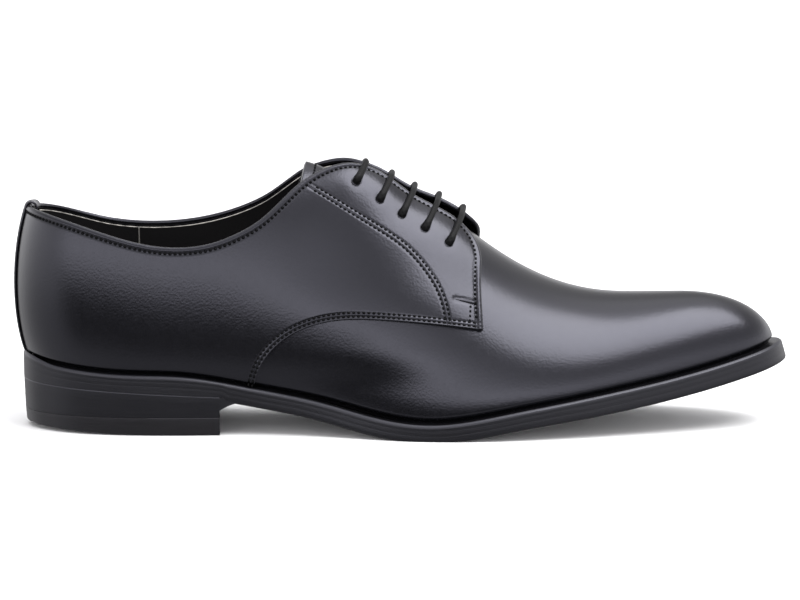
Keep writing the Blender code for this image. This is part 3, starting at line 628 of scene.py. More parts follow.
def across_level(side, x, half):
    """The t of places at x that lie this far from the middle of the facings."""
    return level_from_crest(side, x, np.abs(FACING_MIDDLE + side * half - ridge_point(x)[1]))


print("top line at x = 60, t:", [round(float(top_level(side, np.array([60.0]))[0]), 3) for side in SIDES])

# %% Edges of the quarter
VAMP_POINT = (180.7, 42.0)
ARCH_CENTRE, ARCH_RADII, ARCH_POWER = (135.0, 12.0), (42.5, 34.0), 2.3
ARCH_FOOT, ARCH_CROWDING, FRONT_FALL = 92.8, 1.3, 1.6
FACING_TOP, FACING_FRONT, FACING_TAPER = (132.0, 5.4), (166.0, 7.4), (-0.4, 1)
FACING_CORNER, CORNER_POWER = (13.4, 12.5), {-1: 1.0, 1: 0.65}
CROWN_FROM, CROWN_TO, CROWN_STEPS, CROWN_START = 108.0, 141.0, 90, 0.5


def facing_half(x):
    """Half the gap between the facings: a straight taper from top to front."""
    top, front = FACING_TOP, FACING_FRONT
    return top[1] + (front[1] - top[1]) * np.clip((x - top[0]) / (front[0] - top[0]), *FACING_TAPER)


def arch_height(x):
    """Lower edge in side view: a superellipse from the sole up, then a gentle fall to the vamp point."""
    back = np.clip((ARCH_CENTRE[0] - x) / ARCH_RADII[0], 0, 1)
    arch = ARCH_CENTRE[1] + ARCH_RADII[1] * (1 - back**ARCH_POWER) ** (1 / ARCH_POWER)
    run = np.clip((x - ARCH_CENTRE[0]) / (VAMP_POINT[0] - ARCH_CENTRE[0]), 0, 1)
    return arch - (ARCH_CENTRE[1] + ARCH_RADII[1] - VAMP_POINT[1]) * run**FRONT_FALL


def crown(side):
    """Rounded top of the facing: a parabola from the top line to the facing, tangent to both.

    It is drawn in x and distance from the middle, with its control point where the tangents meet."""
    x = np.array([CROWN_FROM - CROWN_START, CROWN_FROM])
    before, start = side * (last(side, station_u(x), top_level(side, x))[:, 1] - FACING_MIDDLE)
    end = facing_half(CROWN_TO)
    slope, taper = (start - before) / CROWN_START, end - facing_half(CROWN_TO - 1)
    meet = (start - slope * CROWN_FROM - end + taper * CROWN_TO) / (taper - slope)
    control = meet, start + slope * (meet - CROWN_FROM)
    s = np.linspace(0, 1, 2 * CROWN_STEPS + 1)[:, None]
    x, half = parabola(*np.array([(CROWN_FROM, start), control, (CROWN_TO, end)]), s).T
    return np.c_[station_u(x), across_level(side, x, half)]


def top_line(side):
    """Top line from the heel up to the middle of the facing's rounded crown."""
    x = station_x(np.linspace(0, station_u(CROWN_FROM), 210))
    return np.vstack([np.c_[station_u(x), top_level(side, x)], crown(side)[1 : CROWN_STEPS + 1]])


def facing_edge(side):
    """From the middle of the crown down the facing, round its corner and down to the vamp point."""
    straight = np.linspace(CROWN_TO, FACING_FRONT[0], 70)[1:]
    turn, power = np.linspace(0, np.pi / 2, 50)[1:], CORNER_POWER[side]
    corner = FACING_FRONT[0] + FACING_CORNER[0] * np.sin(turn) ** power
    aside = FACING_FRONT[1] + FACING_CORNER[1] * (1 - np.clip(np.cos(turn), 0, 1) ** power)
    x = np.r_[straight, corner]
    t = across_level(side, x, np.r_[facing_half(straight), aside])
    point_x = np.array([VAMP_POINT[0]])
    point_t = level_at_height(side, point_x, lambda at: VAMP_POINT[1])
    down = np.linspace(0, 1, 80)[1:]
    x = np.r_[x, x[-1] + (point_x - x[-1]) * down]
    t = np.r_[t, t[-1] + (point_t - t[-1]) * down]
    return np.vstack([crown(side)[CROWN_STEPS:], np.c_[station_u(x), t]])


def lower_edge(side):
    """From the sole up over the arch and forward to the vamp point."""
    turn = np.linspace(0, np.pi / 2, 120)
    x = ARCH_FOOT + (ARCH_CENTRE[0] - ARCH_FOOT) * (1 - np.cos(turn)) ** ARCH_CROWDING
    x = np.r_[x, np.linspace(ARCH_CENTRE[0], VAMP_POINT[0], 90)[1:]]
    return np.c_[station_u(x), np.clip(level_at_height(side, x, arch_height), 0, 1)]


def length_along(side, edge):
    """Running length of a row of (u, t) places, measured on the quarter's surface."""
    return running_length(on_last(side, *edge.T, QUARTER_STEP))


def spaced(side, edge, shares):
    """The places of an edge at given shares of its length."""
    along = length_along(side, edge)
    return at_length(shares * along[-1], along, edge)


for side, name in SIDES.items():
    lengths = [length_along(side, edge(side))[-1] for edge in (top_line, facing_edge, lower_edge)]
    print(name, "top line, facing, lower edge:", np.round(lengths), "mm")

# %% [markdown]
# ## The quarters
# The quarters are the two rear parts of the upper. Each is one patch between four edges: the back seam,
# the bottom, the top line and the facing. A cut-out of a larger grid would have ragged edges, so a
# Coons patch blends the edges into a grid of (u, t) places, and the last turns them into points.

# %% Grid of a quarter
QUARTER_COLUMNS, QUARTER_ROWS, EDGE_FADE = 300, 125, 7
COLUMN_CROWDING, ROW_CROWDING = 0.5, 0.55
PATH_GAP, BATCH = 0.3, 60


def crowded(count, both_ends, end):
    """Shares from 0 to 1, closer together at the ends: a straight row mixed with eased ones."""
    s = np.linspace(0, 1, count)
    return s + both_ends * ((1 - np.cos(np.pi * s)) / 2 - s) + end * (1 - (1 - s) ** 2 - s)


def coons(low, high, left, right):
    """Grid between four edges: straight from low to high, plus the bends of left and right.

    A bend is what an edge departs from its chord. It fades quickly, so that the grid doesn't fold
    over a hollow top line."""
    s, r = np.linspace(0, 1, len(low))[:, None, None], np.linspace(0, 1, len(left))[None, :, None]
    across = (1 - r) * low[:, None] + r * high[:, None]
    bends = [edge[None] - (1 - r) * edge[0] - r * edge[-1] for edge in (left, right)]
    return across + (1 - s) ** EDGE_FADE * bends[0] + s**EDGE_FADE * bends[1]


def quarter_grid(side):
    """The (u, t) places of a quarter, columns from the back seam to the facing, rows from the sole up."""
    columns = crowded(QUARTER_COLUMNS, 0.0, COLUMN_CROWDING)
    rows = crowded(QUARTER_ROWS, ROW_CROWDING, 0.0)
    feather = np.c_[np.linspace(0, station_u(ARCH_FOOT), 150), np.zeros(150)]
    low = spaced(side, np.vstack([feather, lower_edge(side)[1:]]), columns)
    high = spaced(side, top_line(side), columns)
    right = spaced(side, facing_edge(side)[::-1], rows)
    left = spaced(side, np.c_[np.zeros(80), np.linspace(0, high[0, 1], 80)], rows)
    return coons(low, high, left, right)


def distance(points, path):
    """Shortest distance of every point to the points of a path, taken in batches."""
    flat = points.reshape(-1, 3)
    best = np.full(len(flat), np.inf)
    for batch in np.array_split(path, max(1, len(path) // BATCH)):
        best = np.minimum(best, ((flat[:, None] - batch) ** 2).sum(-1).min(1))
    return np.sqrt(best).reshape(points.shape[:-1])


def edge_path(side, edge):
    """Points of an edge on the quarter's outside, close together."""
    count = int(length_along(side, edge)[-1] / PATH_GAP)
    u, t = spaced(side, edge, np.linspace(0, 1, count)).T
    return on_last(side, u, t, quarter_lift(side, u, t))


grids = {side: quarter_grid(side) for side in SIDES}
print("quarter grid:", grids[-1].shape)

# %% [markdown]
# ### Places across the instep
# Lace bars, eyelets and the tongue run across the instep, square to its ridge, while the last's
# sections are upright. A place is therefore found in a few rounds: take the section at x, see how far
# its point lies from the wanted plane, and move the section by most of that.

# %% Places across the instep
RIDGE_SLOPE, PLANE_ROUNDS, PLANE_STEP = 0.55, 8, 0.8
BAR_X = np.array([134.2, 144.4, 153.6, 162.8, 172.0])
EYELET_OFF = np.array([13.6, 15.6, 16.8, 17.8, 18.6])


def by_side(side, values):
    """values(-1) where side is -1, and values(1) elsewhere."""
    return np.where(side < 0, values(-1).T, values(1).T).T


def place_across(x, y, lift):
    """(side, u, t) arrays of the lifted surface's points at y in the planes square to the ridge at x."""
    at, ridge_z = x, ridge_point(x)[2]
    for _ in range(PLANE_ROUNDS):
        from_crest = y - ridge_point(at)[1]
        side, u = np.where(from_crest < 0, -1, 1), station_u(at)
        t = by_side(side, lambda half: level_from_crest(half, at, np.abs(from_crest)))
        point = by_side(side, lambda half: on_last(half, u, t, lift(half, u, t)))
        at = at + PLANE_STEP * (x + (point[:, 2] - ridge_z) * RIDGE_SLOPE - point[:, 0])
    return side, u, t


def points_across(x, y, lift):
    """The points themselves."""
    side, u, t = place_across(x, y, lift)
    return by_side(side, lambda half: on_last(half, u, t, lift(half, u, t)))


def eyelet_points(lift):
    """Ten points, two for each row, on the facings at their height or on a level above or below."""
    rows = np.repeat(BAR_X, 2), FACING_MIDDLE + np.ravel(np.c_[-EYELET_OFF, EYELET_OFF])
    return points_across(*rows, lambda *place: quarter_lift(*place) + lift)


print("eyelets, mm:", np.round(eyelet_points(0.0)[::2], 1).tolist())

# %% [markdown]
# ### Relief of the quarters
# A folded rim stands up like a bead, a stitch line sinks into the leather, and the leather swells
# between two rows. Sculpting would do, but it can't be repeated. Here each ridge or groove is a bell
# over the distance to the line that it follows, and the bells are added to the lift.

# %% Relief of the quarters
# x, height: where the two rows of stitches run from the top line down in front of the eyelets
FACING_SEAM = np.array(
    [
        (113.4, 96.2), (126.5, 88.1), (139.2, 80.6), (152.9, 71.1), (159.0, 64.5), (164.4, 56.3),
        (167.6, 46.1), (168.0, 43.9),
    ]
)
# the short bar tack beside the front edge, and the stitches that hold it
TACK = np.array([(170.7, 53.1), (177.6, 51.6)])
TACK_STITCHES = np.array([(176.4, 51.0), (176.1, 44.6)])
SEAM_HALF, SEAM_STARTS = 0.85, (1.8, 3.6)
BEAD_STITCH, LOWER_STITCHES = 1.85, (0.85, 2.3)
# for each line: height, centre and width of its ridges and grooves
RELIEF = {
    "rim": [(0.42, 0.7, 0.75), (-0.42, BEAD_STITCH, 0.45)],
    "low": [
        (0.42, 0.1, 0.4), (-0.25, LOWER_STITCHES[0], 0.3), (0.25, sum(LOWER_STITCHES) / 2, 0.4),
        (-0.25, LOWER_STITCHES[1], 0.3),
    ],
    "seam": [(0.2, 0.0, 0.4), (-0.25, SEAM_HALF, 0.35)],
    "tack": [(-0.3, 0.7, 0.5)],
    "eyelets": [(-0.3, 0.0, 2.2)],
}


def by_height(side, table):
    """Places of a line on the wall: a spline through a table of x and height."""
    along = running_length(table)
    x, z = (spline(along, values, np.linspace(0, along[-1], 120)) for values in table.T)
    return np.c_[station_u(x), level_at_height(side, x, lambda at: z[:, None])]


def quarter_relief(side, points):
    """Sum of the bells along every line; also the distance to the rim. The seam starts below the bead."""
    lines = {
        "rim": np.vstack([edge_path(side, top_line(side)), edge_path(side, facing_edge(side))]),
        "low": edge_path(side, lower_edge(side)),
        "seam": edge_path(side, by_height(side, FACING_SEAM)),
        "tack": edge_path(side, by_height(side, TACK)),
        "eyelets": eyelet_points(0.0),
    }
    away = {key: distance(points, line) for key, line in lines.items()}
    forms = {key: sum(h * bell(away[key], c, w) for h, c, w in RELIEF[key]) for key in lines}
    forms["seam"] = forms["seam"] * ease(*SEAM_STARTS, away["rim"])
    return sum(forms.values()), away["rim"]


print("seam across the facing:", round(length_along(-1, by_height(-1, FACING_SEAM))[-1]), "mm")

# %% Quarters
LEATHER, FOLDED, FOLD_REACH = 1.1, 1.7, 9.0
TURN_IN, TURN_IN_HEIGHTS = 1.7, (2.8, -0.8)
RIM_STEPS = 7
# how round the rim is: a cut edge, hidden at the sole, and at the back seam above this share of the rows
RIM_ROUND, FOOT_ROUND, BACK_ROUND, BACK_FROM = 0.8, 0.05, 0.35, 0.45


def turned_in(points):
    """Leather drawn in under the foot: nothing above a few millimetres, full at the sole."""
    return -TURN_IN * ease(*TURN_IN_HEIGHTS, points[..., 2] - sole_top(points[..., 0]))


def shell(outer, inner, round_share):
    """Closed wall from two grids: both skins, and a half-round rim that joins their four edges.

    Rim points lie on the half circle from the outer edge, outwards in the surface, to the inner edge."""
    rows, columns = outer.shape[:2]
    number = numbered((rows, columns))
    loop = np.r_[number[:-1, 0], number[-1, :-1], number[:0:-1, -1], number[0, :0:-1]]
    inward = np.empty_like(outer)
    inward[:, 0], inward[:, -1] = outer[:, 1], outer[:, -2]
    inward[0], inward[-1] = outer[1], outer[-2]
    out, into, near = (grid.reshape(-1, 3)[loop] for grid in (outer, inner, inward))
    across = (out - into) / 2
    thick = np.linalg.norm(across, axis=1, keepdims=True)
    away = unit(np.cross(np.roll(out, -1, 0) - np.roll(out, 1, 0), across))
    away *= np.sign(((out - near) * away).sum(1, keepdims=True))
    turn = np.linspace(0, np.pi, RIM_STEPS)[1:-1, None, None]
    roundness = np.broadcast_to(round_share, (rows, columns)).reshape(-1)[loop][:, None]
    bulge = (thick * roundness * away)[None]
    rim = (out + into) / 2 + np.cos(turn) * across + np.sin(turn) * bulge
    points = np.concatenate([outer.reshape(-1, 3), inner.reshape(-1, 3), rim.reshape(-1, 3)])
    band = np.vstack([loop, 2 * number.size + numbered(rim.shape[:2]), number.size + loop])
    faces = np.concatenate([quads(number), quads(number + number.size)[:, ::-1], rings(band)])
    return points, faces


def quarter(side, name, stands_for=()):
    """One quarter: outer skin lifted by its relief, inner skin a leather below, thicker at the fold."""
    u, t = np.moveaxis(grids[side], -1, 0)
    lift = quarter_lift(side, u, t)
    skin = on_last(side, u, t, lift)
    relief, to_rim = quarter_relief(side, skin)
    thick = LEATHER + (FOLDED - LEATHER) * bell(to_rim, 0, FOLD_REACH)
    lift = lift + turned_in(skin)
    outer, inner = (on_last(side, u, t, at) for at in (lift + relief, lift - thick))
    round_share = np.full(u.shape, RIM_ROUND)
    round_share[0] = FOOT_ROUND
    round_share[:, 0] = np.where(np.arange(len(u)) < len(u) * BACK_FROM, FOOT_ROUND, BACK_ROUND)
    return piece(name, *shell(outer, inner, round_share), "calf", stands_for)


quarter(-1, "quarter_lateral", ("upper",))
quarter(1, "quarter_medial")

# %% [markdown]
# ## The vamp
# The vamp is the plain front, one piece over the toe. It goes on under the quarters, where nobody sees
# it, so its rear edge is only roughly cut there. The grid runs over both sides, the two halves are
# welded along the ridge, and Solidify gives the leather its thickness.

# %% Vamp
VAMP_LEVELS, VAMP_BACK, VAMP_CUT, VAMP_THICK = 90, 86.0, (158.0, 174.0), 1.2
# how far the edge drops below the ridge, at the throat and once more towards the heel
VAMP_DROP, THROAT_CUT, WAIST_CUT = 0.36, (171, 161), (150, 98)


def vamp_top(x):
    """Highest t of the vamp: up to the ridge in front of the throat, lower and lower under the quarters."""
    return 1 - VAMP_DROP * ease(*THROAT_CUT, x) - VAMP_DROP * ease(*WAIST_CUT, x)


def vamp():
    """Both halves of the vamp on one grid each, close columns at the cut."""
    rear, cut = np.linspace(VAMP_BACK, VAMP_CUT[0], 60), np.linspace(*VAMP_CUT, 70)
    front = np.linspace(station_u(VAMP_CUT[1]), 1, 150)
    u = np.r_[station_u(np.r_[rear, cut[1:]]), front[1:]][:, None]
    t = np.linspace(0, 1, VAMP_LEVELS)[None] * vamp_top(station_x(u))
    halves = [on_last(s, u, t, turned_in(last(s, u, t)) + waist_form(s, u, t)) for s in SIDES]
    faces = np.concatenate([quads(half) for half in numbered((2, *t.shape))])
    made = piece("vamp", np.concatenate(halves), faces, "calf")
    wall = made.modifiers.new("leather", "SOLIDIFY")
    wall.thickness = VAMP_THICK * MM
    wall.offset = -1.0
    return made


vamp()

# %% [markdown]
# ## Tongue
# The tongue is a padded strip under the facings, cut straight across at its top end. It is built from
# rings round its section, one after another along the instep. Subdivision then rounds the cut edges,
# which takes fewer points than drawing the rounds.

# %% Tongue
TONGUE_THICK, TONGUE_HALF, TONGUE_END, TONGUE_FRONT = 2.2, 24.0, 114.2, 186.0
TONGUE_DEEP, END_RISE, FRONT_RISE = -4.8, 0.9, 2.9
END_RISES, FRONT_RISES = (126, 114), (146, 168)
TONGUE_LEAN, LEAN_HALF, LEAN_FROM = 2.5, 17.0, (140, 116)
EDGE_NEAR, SKIN_NEAR = 0.4, 0.35


def tongue_lift(x):
    """Top of the tongue: under the lace runs, and up to the vamp at its front end."""
    return TONGUE_DEEP + END_RISE * ease(*END_RISES, x) + FRONT_RISE * ease(*FRONT_RISES, x)


def tongue_lean(x, y):
    """The cut end stands steeper than the instep: its sides come forward with the square of y."""
    return TONGUE_LEAN * ((y - FACING_MIDDLE) / LEAN_HALF) ** 2 * ease(*LEAN_FROM, x)


def tongue():
    """Rings along the instep, each once round the tongue's section, and a flat cap at either end."""
    near_end = TONGUE_END + np.array([0, EDGE_NEAR, 1.4])
    stations = np.r_[near_end, np.linspace(119, 168, 14), 174, 180, TONGUE_FRONT]
    inside = TONGUE_HALF - EDGE_NEAR
    sideways = np.r_[-TONGUE_HALF, -inside, np.linspace(-22, 22, 15), inside, TONGUE_HALF]
    x, y = (grid.ravel() for grid in np.meshgrid(stations, FACING_MIDDLE + sideways, indexing="ij"))
    x = x + tongue_lean(x, y)
    layers = []
    for depth in (0.0, SKIN_NEAR, TONGUE_THICK - SKIN_NEAR, TONGUE_THICK):
        points = points_across(x, y, lambda side, u, t: tongue_lift(station_x(u)) - depth)
        layers.append(points.reshape(len(stations), len(sideways), 3))
    over, upper, lower, under = layers
    section = over, upper[:, -1:], lower[:, -1:], under[:, ::-1], lower[:, :1], upper[:, :1]
    ring = np.concatenate(section, 1)
    number, wide = numbered(ring.shape[:2]), len(sideways)
    ends = number[[0, -1]]
    caps = [quads(np.stack([n[:wide], n[wide + 2 : 2 * wide + 2][::-1]])) for n in ends]
    sides = [np.stack([n[wide - 1 : wide + 3], n[[0, -1, -2, -3]]]) for n in ends]
    made = piece("tongue", ring, np.concatenate([rings(number), *caps, *sides]), "calf", ("tongue",))
    smooth = made.modifiers.new("rounded", "SUBSURF")
    smooth.levels = smooth.render_levels = 2
    return made


tongue()

# %% [markdown]
# ## Back strip
# A narrow strip covers the seam at the heel and folds over the top line. A flat ribbon could be
# wrapped onto the heel by a modifier, but its fold would be left to chance. Here each place across it
# is a line up the outside, half a circle over the edge and a line down the inside.

# %% Back strip
STRIP_HALF, STRIP_THICK, STRIP_GAP, STRIP_FOLD, STRIP_TUCK = 5.0, 0.9, 0.45, 0.95, 7.0
STRIP_NEAR = QUARTER_STEP + STRIP_GAP - 0.35, -VAMP_WALL - STRIP_GAP
STRIP_DOME, STRIP_STITCH, STRIP_GROOVE, STRIP_GROOVE_WIDE = 0.25, 3.6, 0.3, 0.6
STRIP_FOOT, STRIP_TOP = sole_top(0.0), read_table(TOP_LINE, 4.0)
BACK_TURNS = np.linspace(0, 0.2, 200)


def strip_place(across, heights):
    """Side and u of a place across the strip, and the t where the wall there has the given heights."""
    side = -1 if across < 0 else 1
    u = np.interp(abs(across), np.abs(last(side, BACK_TURNS, 0.5)[:, 1]), BACK_TURNS)
    return side, u, np.interp(heights, last(side, u, LEVELS)[:, 2], LEVELS)


def strip_layer(side, u, outer_t, inner_t, out_lift, in_lift):
    """One face of the strip at one place across: up the outside, over the top line, down the inside."""
    middle = (out_lift + in_lift) / 2
    centre = on_last(side, u, outer_t[-1], middle)
    out = on_last(side, u, outer_t[-1], middle + 1.0) - centre
    rise = unit(np.cross(out, np.cross((0.0, 0.0, 1.0), out)))
    turn = np.linspace(0, np.pi, 17)[1:-1, None]
    fold = centre + (out_lift - middle) * (np.cos(turn) * out + STRIP_FOLD * np.sin(turn) * rise)
    outside = on_last(side, u, outer_t, out_lift + turned_in(last(side, u, outer_t)))
    return np.vstack([outside, fold, on_last(side, u, inner_t, in_lift)])


def back_strip():
    """Two faces of the strip, with a gently domed outside, closed by a rounded rim."""
    faces_of = []
    for across in np.linspace(-STRIP_HALF, STRIP_HALF, 13):
        stops = STRIP_FOOT - 0.2, STRIP_TOP + 0.1, STRIP_TOP - STRIP_TUCK
        side, u, (foot, edge, tuck) = strip_place(across, stops)
        outer_t, inner_t = np.linspace(foot, edge, 50), np.linspace(edge, tuck, 10)
        groove = STRIP_GROOVE * bell(abs(across), STRIP_STITCH, STRIP_GROOVE_WIDE)
        dome = STRIP_THICK + STRIP_DOME * (1 - (across / STRIP_HALF) ** 2) - groove
        far = STRIP_NEAR[0] + dome, STRIP_NEAR[1] - STRIP_THICK
        faces_of.append([strip_layer(side, u, outer_t, inner_t, *lifts) for lifts in (far, STRIP_NEAR)])
    outer, inner = np.array(faces_of).swapaxes(0, 1)
    return piece("back_strip", *shell(outer, inner, RIM_ROUND), "calf", ("back_strip",))


back_strip()

# %% [markdown]
# ## Lining
# The lining follows the inside of the wall and ends a little below the rim, with a pale raw edge. It
# could be a copy of the quarters, but it has no seams or facings, so it is a grid of its own from the
# sole up, closed over the vamp.

# %% Lining
LINING_THICK, LINING_DROP, LINING_OFF, LINING_ROUND = 0.45, 0.012, 0.25, 0.2
LINING_END, RIM_END, CLOSED_FROM = 260.0, 170.0, 176.0


def lining_half(side):
    """Inside of one side: rows from the sole up to a little under the rim, close together at the top."""
    rim = np.vstack([top_line(side), facing_edge(side)])
    rim = rim[: int((station_x(rim[:, 0]) <= RIM_END).sum())]
    u = np.linspace(0, station_u(LINING_END), 150)
    top = np.interp(u, rim[:, 0], rim[:, 1]) - LINING_DROP
    top = np.where(station_x(u) > CLOSED_FROM, 1.0, top)[:, None]
    t = np.r_[np.linspace(0.01, 0.985, 58), 0.992, 0.996, 1.0][None] * top
    u = u[:, None] + np.zeros_like(t)
    lift = lining_lift(side, u, t) + turned_in(last(side, u, t)) + LINING_OFF
    outer, inner = (on_last(side, u, t, at) for at in (lift, lift - LINING_THICK))
    return outer, inner, t >= top * 0.999


for side, name in SIDES.items():
    outer, inner, at_top = lining_half(side)
    points, faces = shell(outer, inner, LINING_ROUND)
    near_top = distance(points, (outer[at_top] + inner[at_top]) / 2) < 0.7 * LINING_THICK
    frayed = 0.62 + 0.2 * np.sin(points[:, 0] * 1.3) + 0.18 * np.sin(points[:, 0] * 3.1 + 1.0)
    piece(f"lining_{name}", points, faces, "lining", values={"raw": np.where(near_top, frayed, 0.0)})

# %% [markdown]
# ## Sock
# The sock is the leather that one steps on. Like the sole, it is drawn in plan from the feather line:
# each point moves inwards or outwards, square to the line, which keeps an even margin round heel and
# toe where a scaled copy would not.

# %% Sole edge in plan
# x, distance of the sole's edge from the feather line
SOLE_MARGIN = np.array([(0, 2.9), (60, 2.7), (105, 2.5), (165, 3.0), (230, 3.2), (298, 3.4)])
HEEL_BACK_EXTRA, HEEL_BACK_FROM, GAP = 1.0, 16.0, 0.3
PLAN_STEP = 1e-3


def edge_plan(side, x, outwards):
    """A point of the feather line moved outwards in plan, square to the line."""
    u = station_u(x)
    x0, x1 = (station_x(np.clip(u + step, 0, 1)) for step in (-PLAN_STEP, PLAN_STEP))
    along = unit(np.stack([x1 - x0, feather_y(side, x1) - feather_y(side, x0)], -1))
    normal = np.stack([along[..., 1], -along[..., 0]], -1) * -side
    return np.stack([x, feather_y(side, x)], -1) + normal * np.asarray(outwards)[..., None]


def loop_round(outwards, x):
    """Plan points all round the shoe at a distance from the feather line, heel to toe and back."""
    return np.vstack([edge_plan(-1, x, outwards), edge_plan(1, x, outwards)[-2:0:-1]])


def margin(x):
    """How far the sole's edge stands out from the feather line."""
    return read_table(SOLE_MARGIN, x) + HEEL_BACK_EXTRA * ease(HEEL_BACK_FROM, FEATHER_BACK, x)


print("sole margin at toe:", round(float(margin(298.0)), 1), "mm")

# %% Sock
SOCK_THICK, SOCK_INSET, SOCK_CUP = 2.5, 2.2, 0.9


def sock_face(inset, height):
    """A grid across the shoe, inset from the feather line and more at the waist, over the sole."""
    x = station_x(np.linspace(0, 1, 120))
    inset = inset + WAIST_TUCK * bell(x, WAIST_X, WAIST_LONG)
    edges = [edge_plan(side, x, -inset)[:, None] for side in SIDES]
    share = np.linspace(0, 1, 41)[None, :, None]
    plan = edges[0] * (1 - share) + edges[1] * share
    return np.concatenate([plan, (sole_top(plan[..., 0]) + GAP + height(share[..., 0]))[..., None]], -1)


def sock():
    """The sock inside, cupped a little at its edge, its underside drawn in like the leather round it."""
    top = sock_face(SOCK_INSET, lambda share: SOCK_THICK + SOCK_CUP * np.abs(2 * share - 1) ** 4)
    under = sock_face(SOCK_INSET + TURN_IN, np.zeros_like)
    return piece("sock", *shell(top, under, LINING_ROUND), "lining", ("insole",))


sock()

# %% [markdown]
# ## The sole
# The outsole is one profile carried round the shoe: a narrow bevel at the top that catches the light,
# a straight edge with two faint grooves left by the trimming wheel, and a rounded lower corner. A
# bevelled solid would have one even round, and a real edge isn't so. Strips across close top and bottom.

# %% Outsole
# inset from the sole's edge, share of the sole's thickness
SOLE_PROFILE = np.array(
    [
        (-7.0, 0.0), (-2.2, 0.0), (-0.85, 0.0), (-0.7, 0.006), (-0.1, 0.09), (0.0, 0.115), (0.0, 0.2),
        (0.0, 0.28), (-0.02, 0.31), (0.0, 0.34), (0.0, 0.45), (0.0, 0.55), (-0.02, 0.58), (0.0, 0.61),
        (0.0, 0.7), (0.0, 0.84), (-0.08, 0.9), (-0.3, 0.96), (-0.75, 0.995), (-1.2, 1.0), (-7.0, 1.0),
    ]
)
SOLE_THICK, SOLE_TOE_EXTRA, TOE_THICKER = 7.2, 0.8, (180, 245)
HEEL_BREAST, HEEL_SEAM_BACK, HEEL_SEAM_FRONT, BREAST_RUN = 79.5, 18.8, 14.8, 4.0
SEAT_LIP, LIP_FROM, SQUARE_FROM = 1.7, (17, 1), (30, 80)
LOWER_ROUND, EDGE_INSET, SOLE_SHARP = 0.86, -1, 0.9


def sole_slope(x):
    """Slope of the sole's upper side."""
    return sole_top(x + 0.5) - sole_top(x - 0.5)


def sole_thickness(x):
    """Thickness of the sole: a little more towards the toe."""
    return SOLE_THICK + SOLE_TOE_EXTRA * ease(*TOE_THICKER, x)


def heel_seam(x):
    """Height of the joint between outsole and heel: a straight slope."""
    return HEEL_SEAM_BACK + (HEEL_SEAM_FRONT - HEEL_SEAM_BACK) * np.clip(x / HEEL_BREAST, -0.1, 1)


def sole_side(plan, down):
    """Points at a depth under the sole's upper side, square to its slope, flat where they meet the floor."""
    x, top, slope = plan[:, 0], sole_top(plan[:, 0]) - GAP, sole_slope(plan[:, 0])
    length, deep = np.hypot(1, slope), down * sole_thickness(x)
    ahead = x + ease(*SQUARE_FROM, x) * deep * slope / length
    low = top - deep / length
    seated = top * (1 - down) + (heel_seam(ahead) + GAP) * down
    low = low + ease(HEEL_BREAST + BREAST_RUN, HEEL_BREAST + 0.6, ahead) * (seated - low)
    return np.c_[ahead, plan[:, 1], np.maximum(low, 0.0)]


def strips_across(first, around, pairs):
    """Faces between the two halves of a ring that runs up one side and back down the other."""
    i = np.arange(pairs - 1)
    return first + np.stack([i, i + 1, (around - i - 1) % around, (around - i) % around], -1)


def edge_map(ring, height):
    """UV of a ring round the shoe: length from the heel on either side, and a height, in mm."""
    along = running_length(ring)
    total = along[-1] + np.linalg.norm(ring[-1] - ring[0])
    return np.c_[np.minimum(along, total - along), np.full(len(ring), height)]


def outsole():
    """Rings of the profile at every depth, closed by strips across the top and the bottom."""
    at_breast = HEEL_BREAST + np.array([1.0, 1.9, 2.8, 3.6, 4.4])
    x = np.sort(np.r_[station_x(np.linspace(0, 1, 190)), at_breast])
    levels = []
    for inset, down in SOLE_PROFILE:
        on_edge = inset > EDGE_INSET
        rounding = ease(HEEL_BREAST - 1, HEEL_BREAST + 9, x) if down > LOWER_ROUND and on_edge else 1.0
        level = sole_side(loop_round(margin(x) + inset * rounding, x), down)
        level[:, 2] += on_edge * SEAT_LIP * ease(*LIP_FROM, level[:, 0]) * (1 - down)
        levels.append(level)
    number = numbered((len(levels), len(levels[0])))
    count, around = number.shape
    ends = [strips_across(first, around, len(x)) for first in (0, (count - 1) * around)]
    heights = running_length(SOLE_PROFILE * (1, -SOLE_THICK))
    uv = np.concatenate([edge_map(ring, height) for ring, height in zip(levels, heights)])
    # painted highlight: the rows of the top bevel get a paler line, as if lit
    painted_highlight = np.repeat(bell(SOLE_PROFILE[:, 1], 0.05, 0.05) * (SOLE_PROFILE[:, 0] > -0.8), around)
    looks = {"sharp": SOLE_SHARP, "uv": uv, "values": {"painted_highlight": painted_highlight}}
    faces = np.concatenate([rings(number), *ends])
    return piece("outsole", np.concatenate(levels), faces, "rubber", ("outsole",), **looks)


outsole()

# %% [markdown]
# ## The heel
# A block under the outsole and a wearing top piece under that. A scaled cylinder would not follow the
# sole's edge, so both are rings round the heel, straight across the breast, with small rounds at their
# upper and lower edges that leave a thin dark joint between the layers.

# %% Heel
TOP_PIECE_HIGH, HEEL_BACK_RISE, HEEL_FLAT_FROM, HEEL_RISE_POWER = 7.0, 2.2, 60.0, 1.6
BREAST_SKEW, HEEL_POINTS, BREAST_POINTS, HEEL_SHARP, HAIRLINE = 5.0, 70, 26, 0.7, 0.05
# share of the layer's height, inset: a hairline round at the top, a larger one at the bottom
LAYER_PROFILE = np.array(
    [(0, 8), (0, 0.12), (0.012, 0.03), (0.04, 0), (0.35, 0), (0.7, 0), (0.96, 0), (0.988, 0.03)]
)
JOINT_END, FLOOR_END = [(1, 0.12), (1, 8)], [(1, 0.5), (1, 8)]


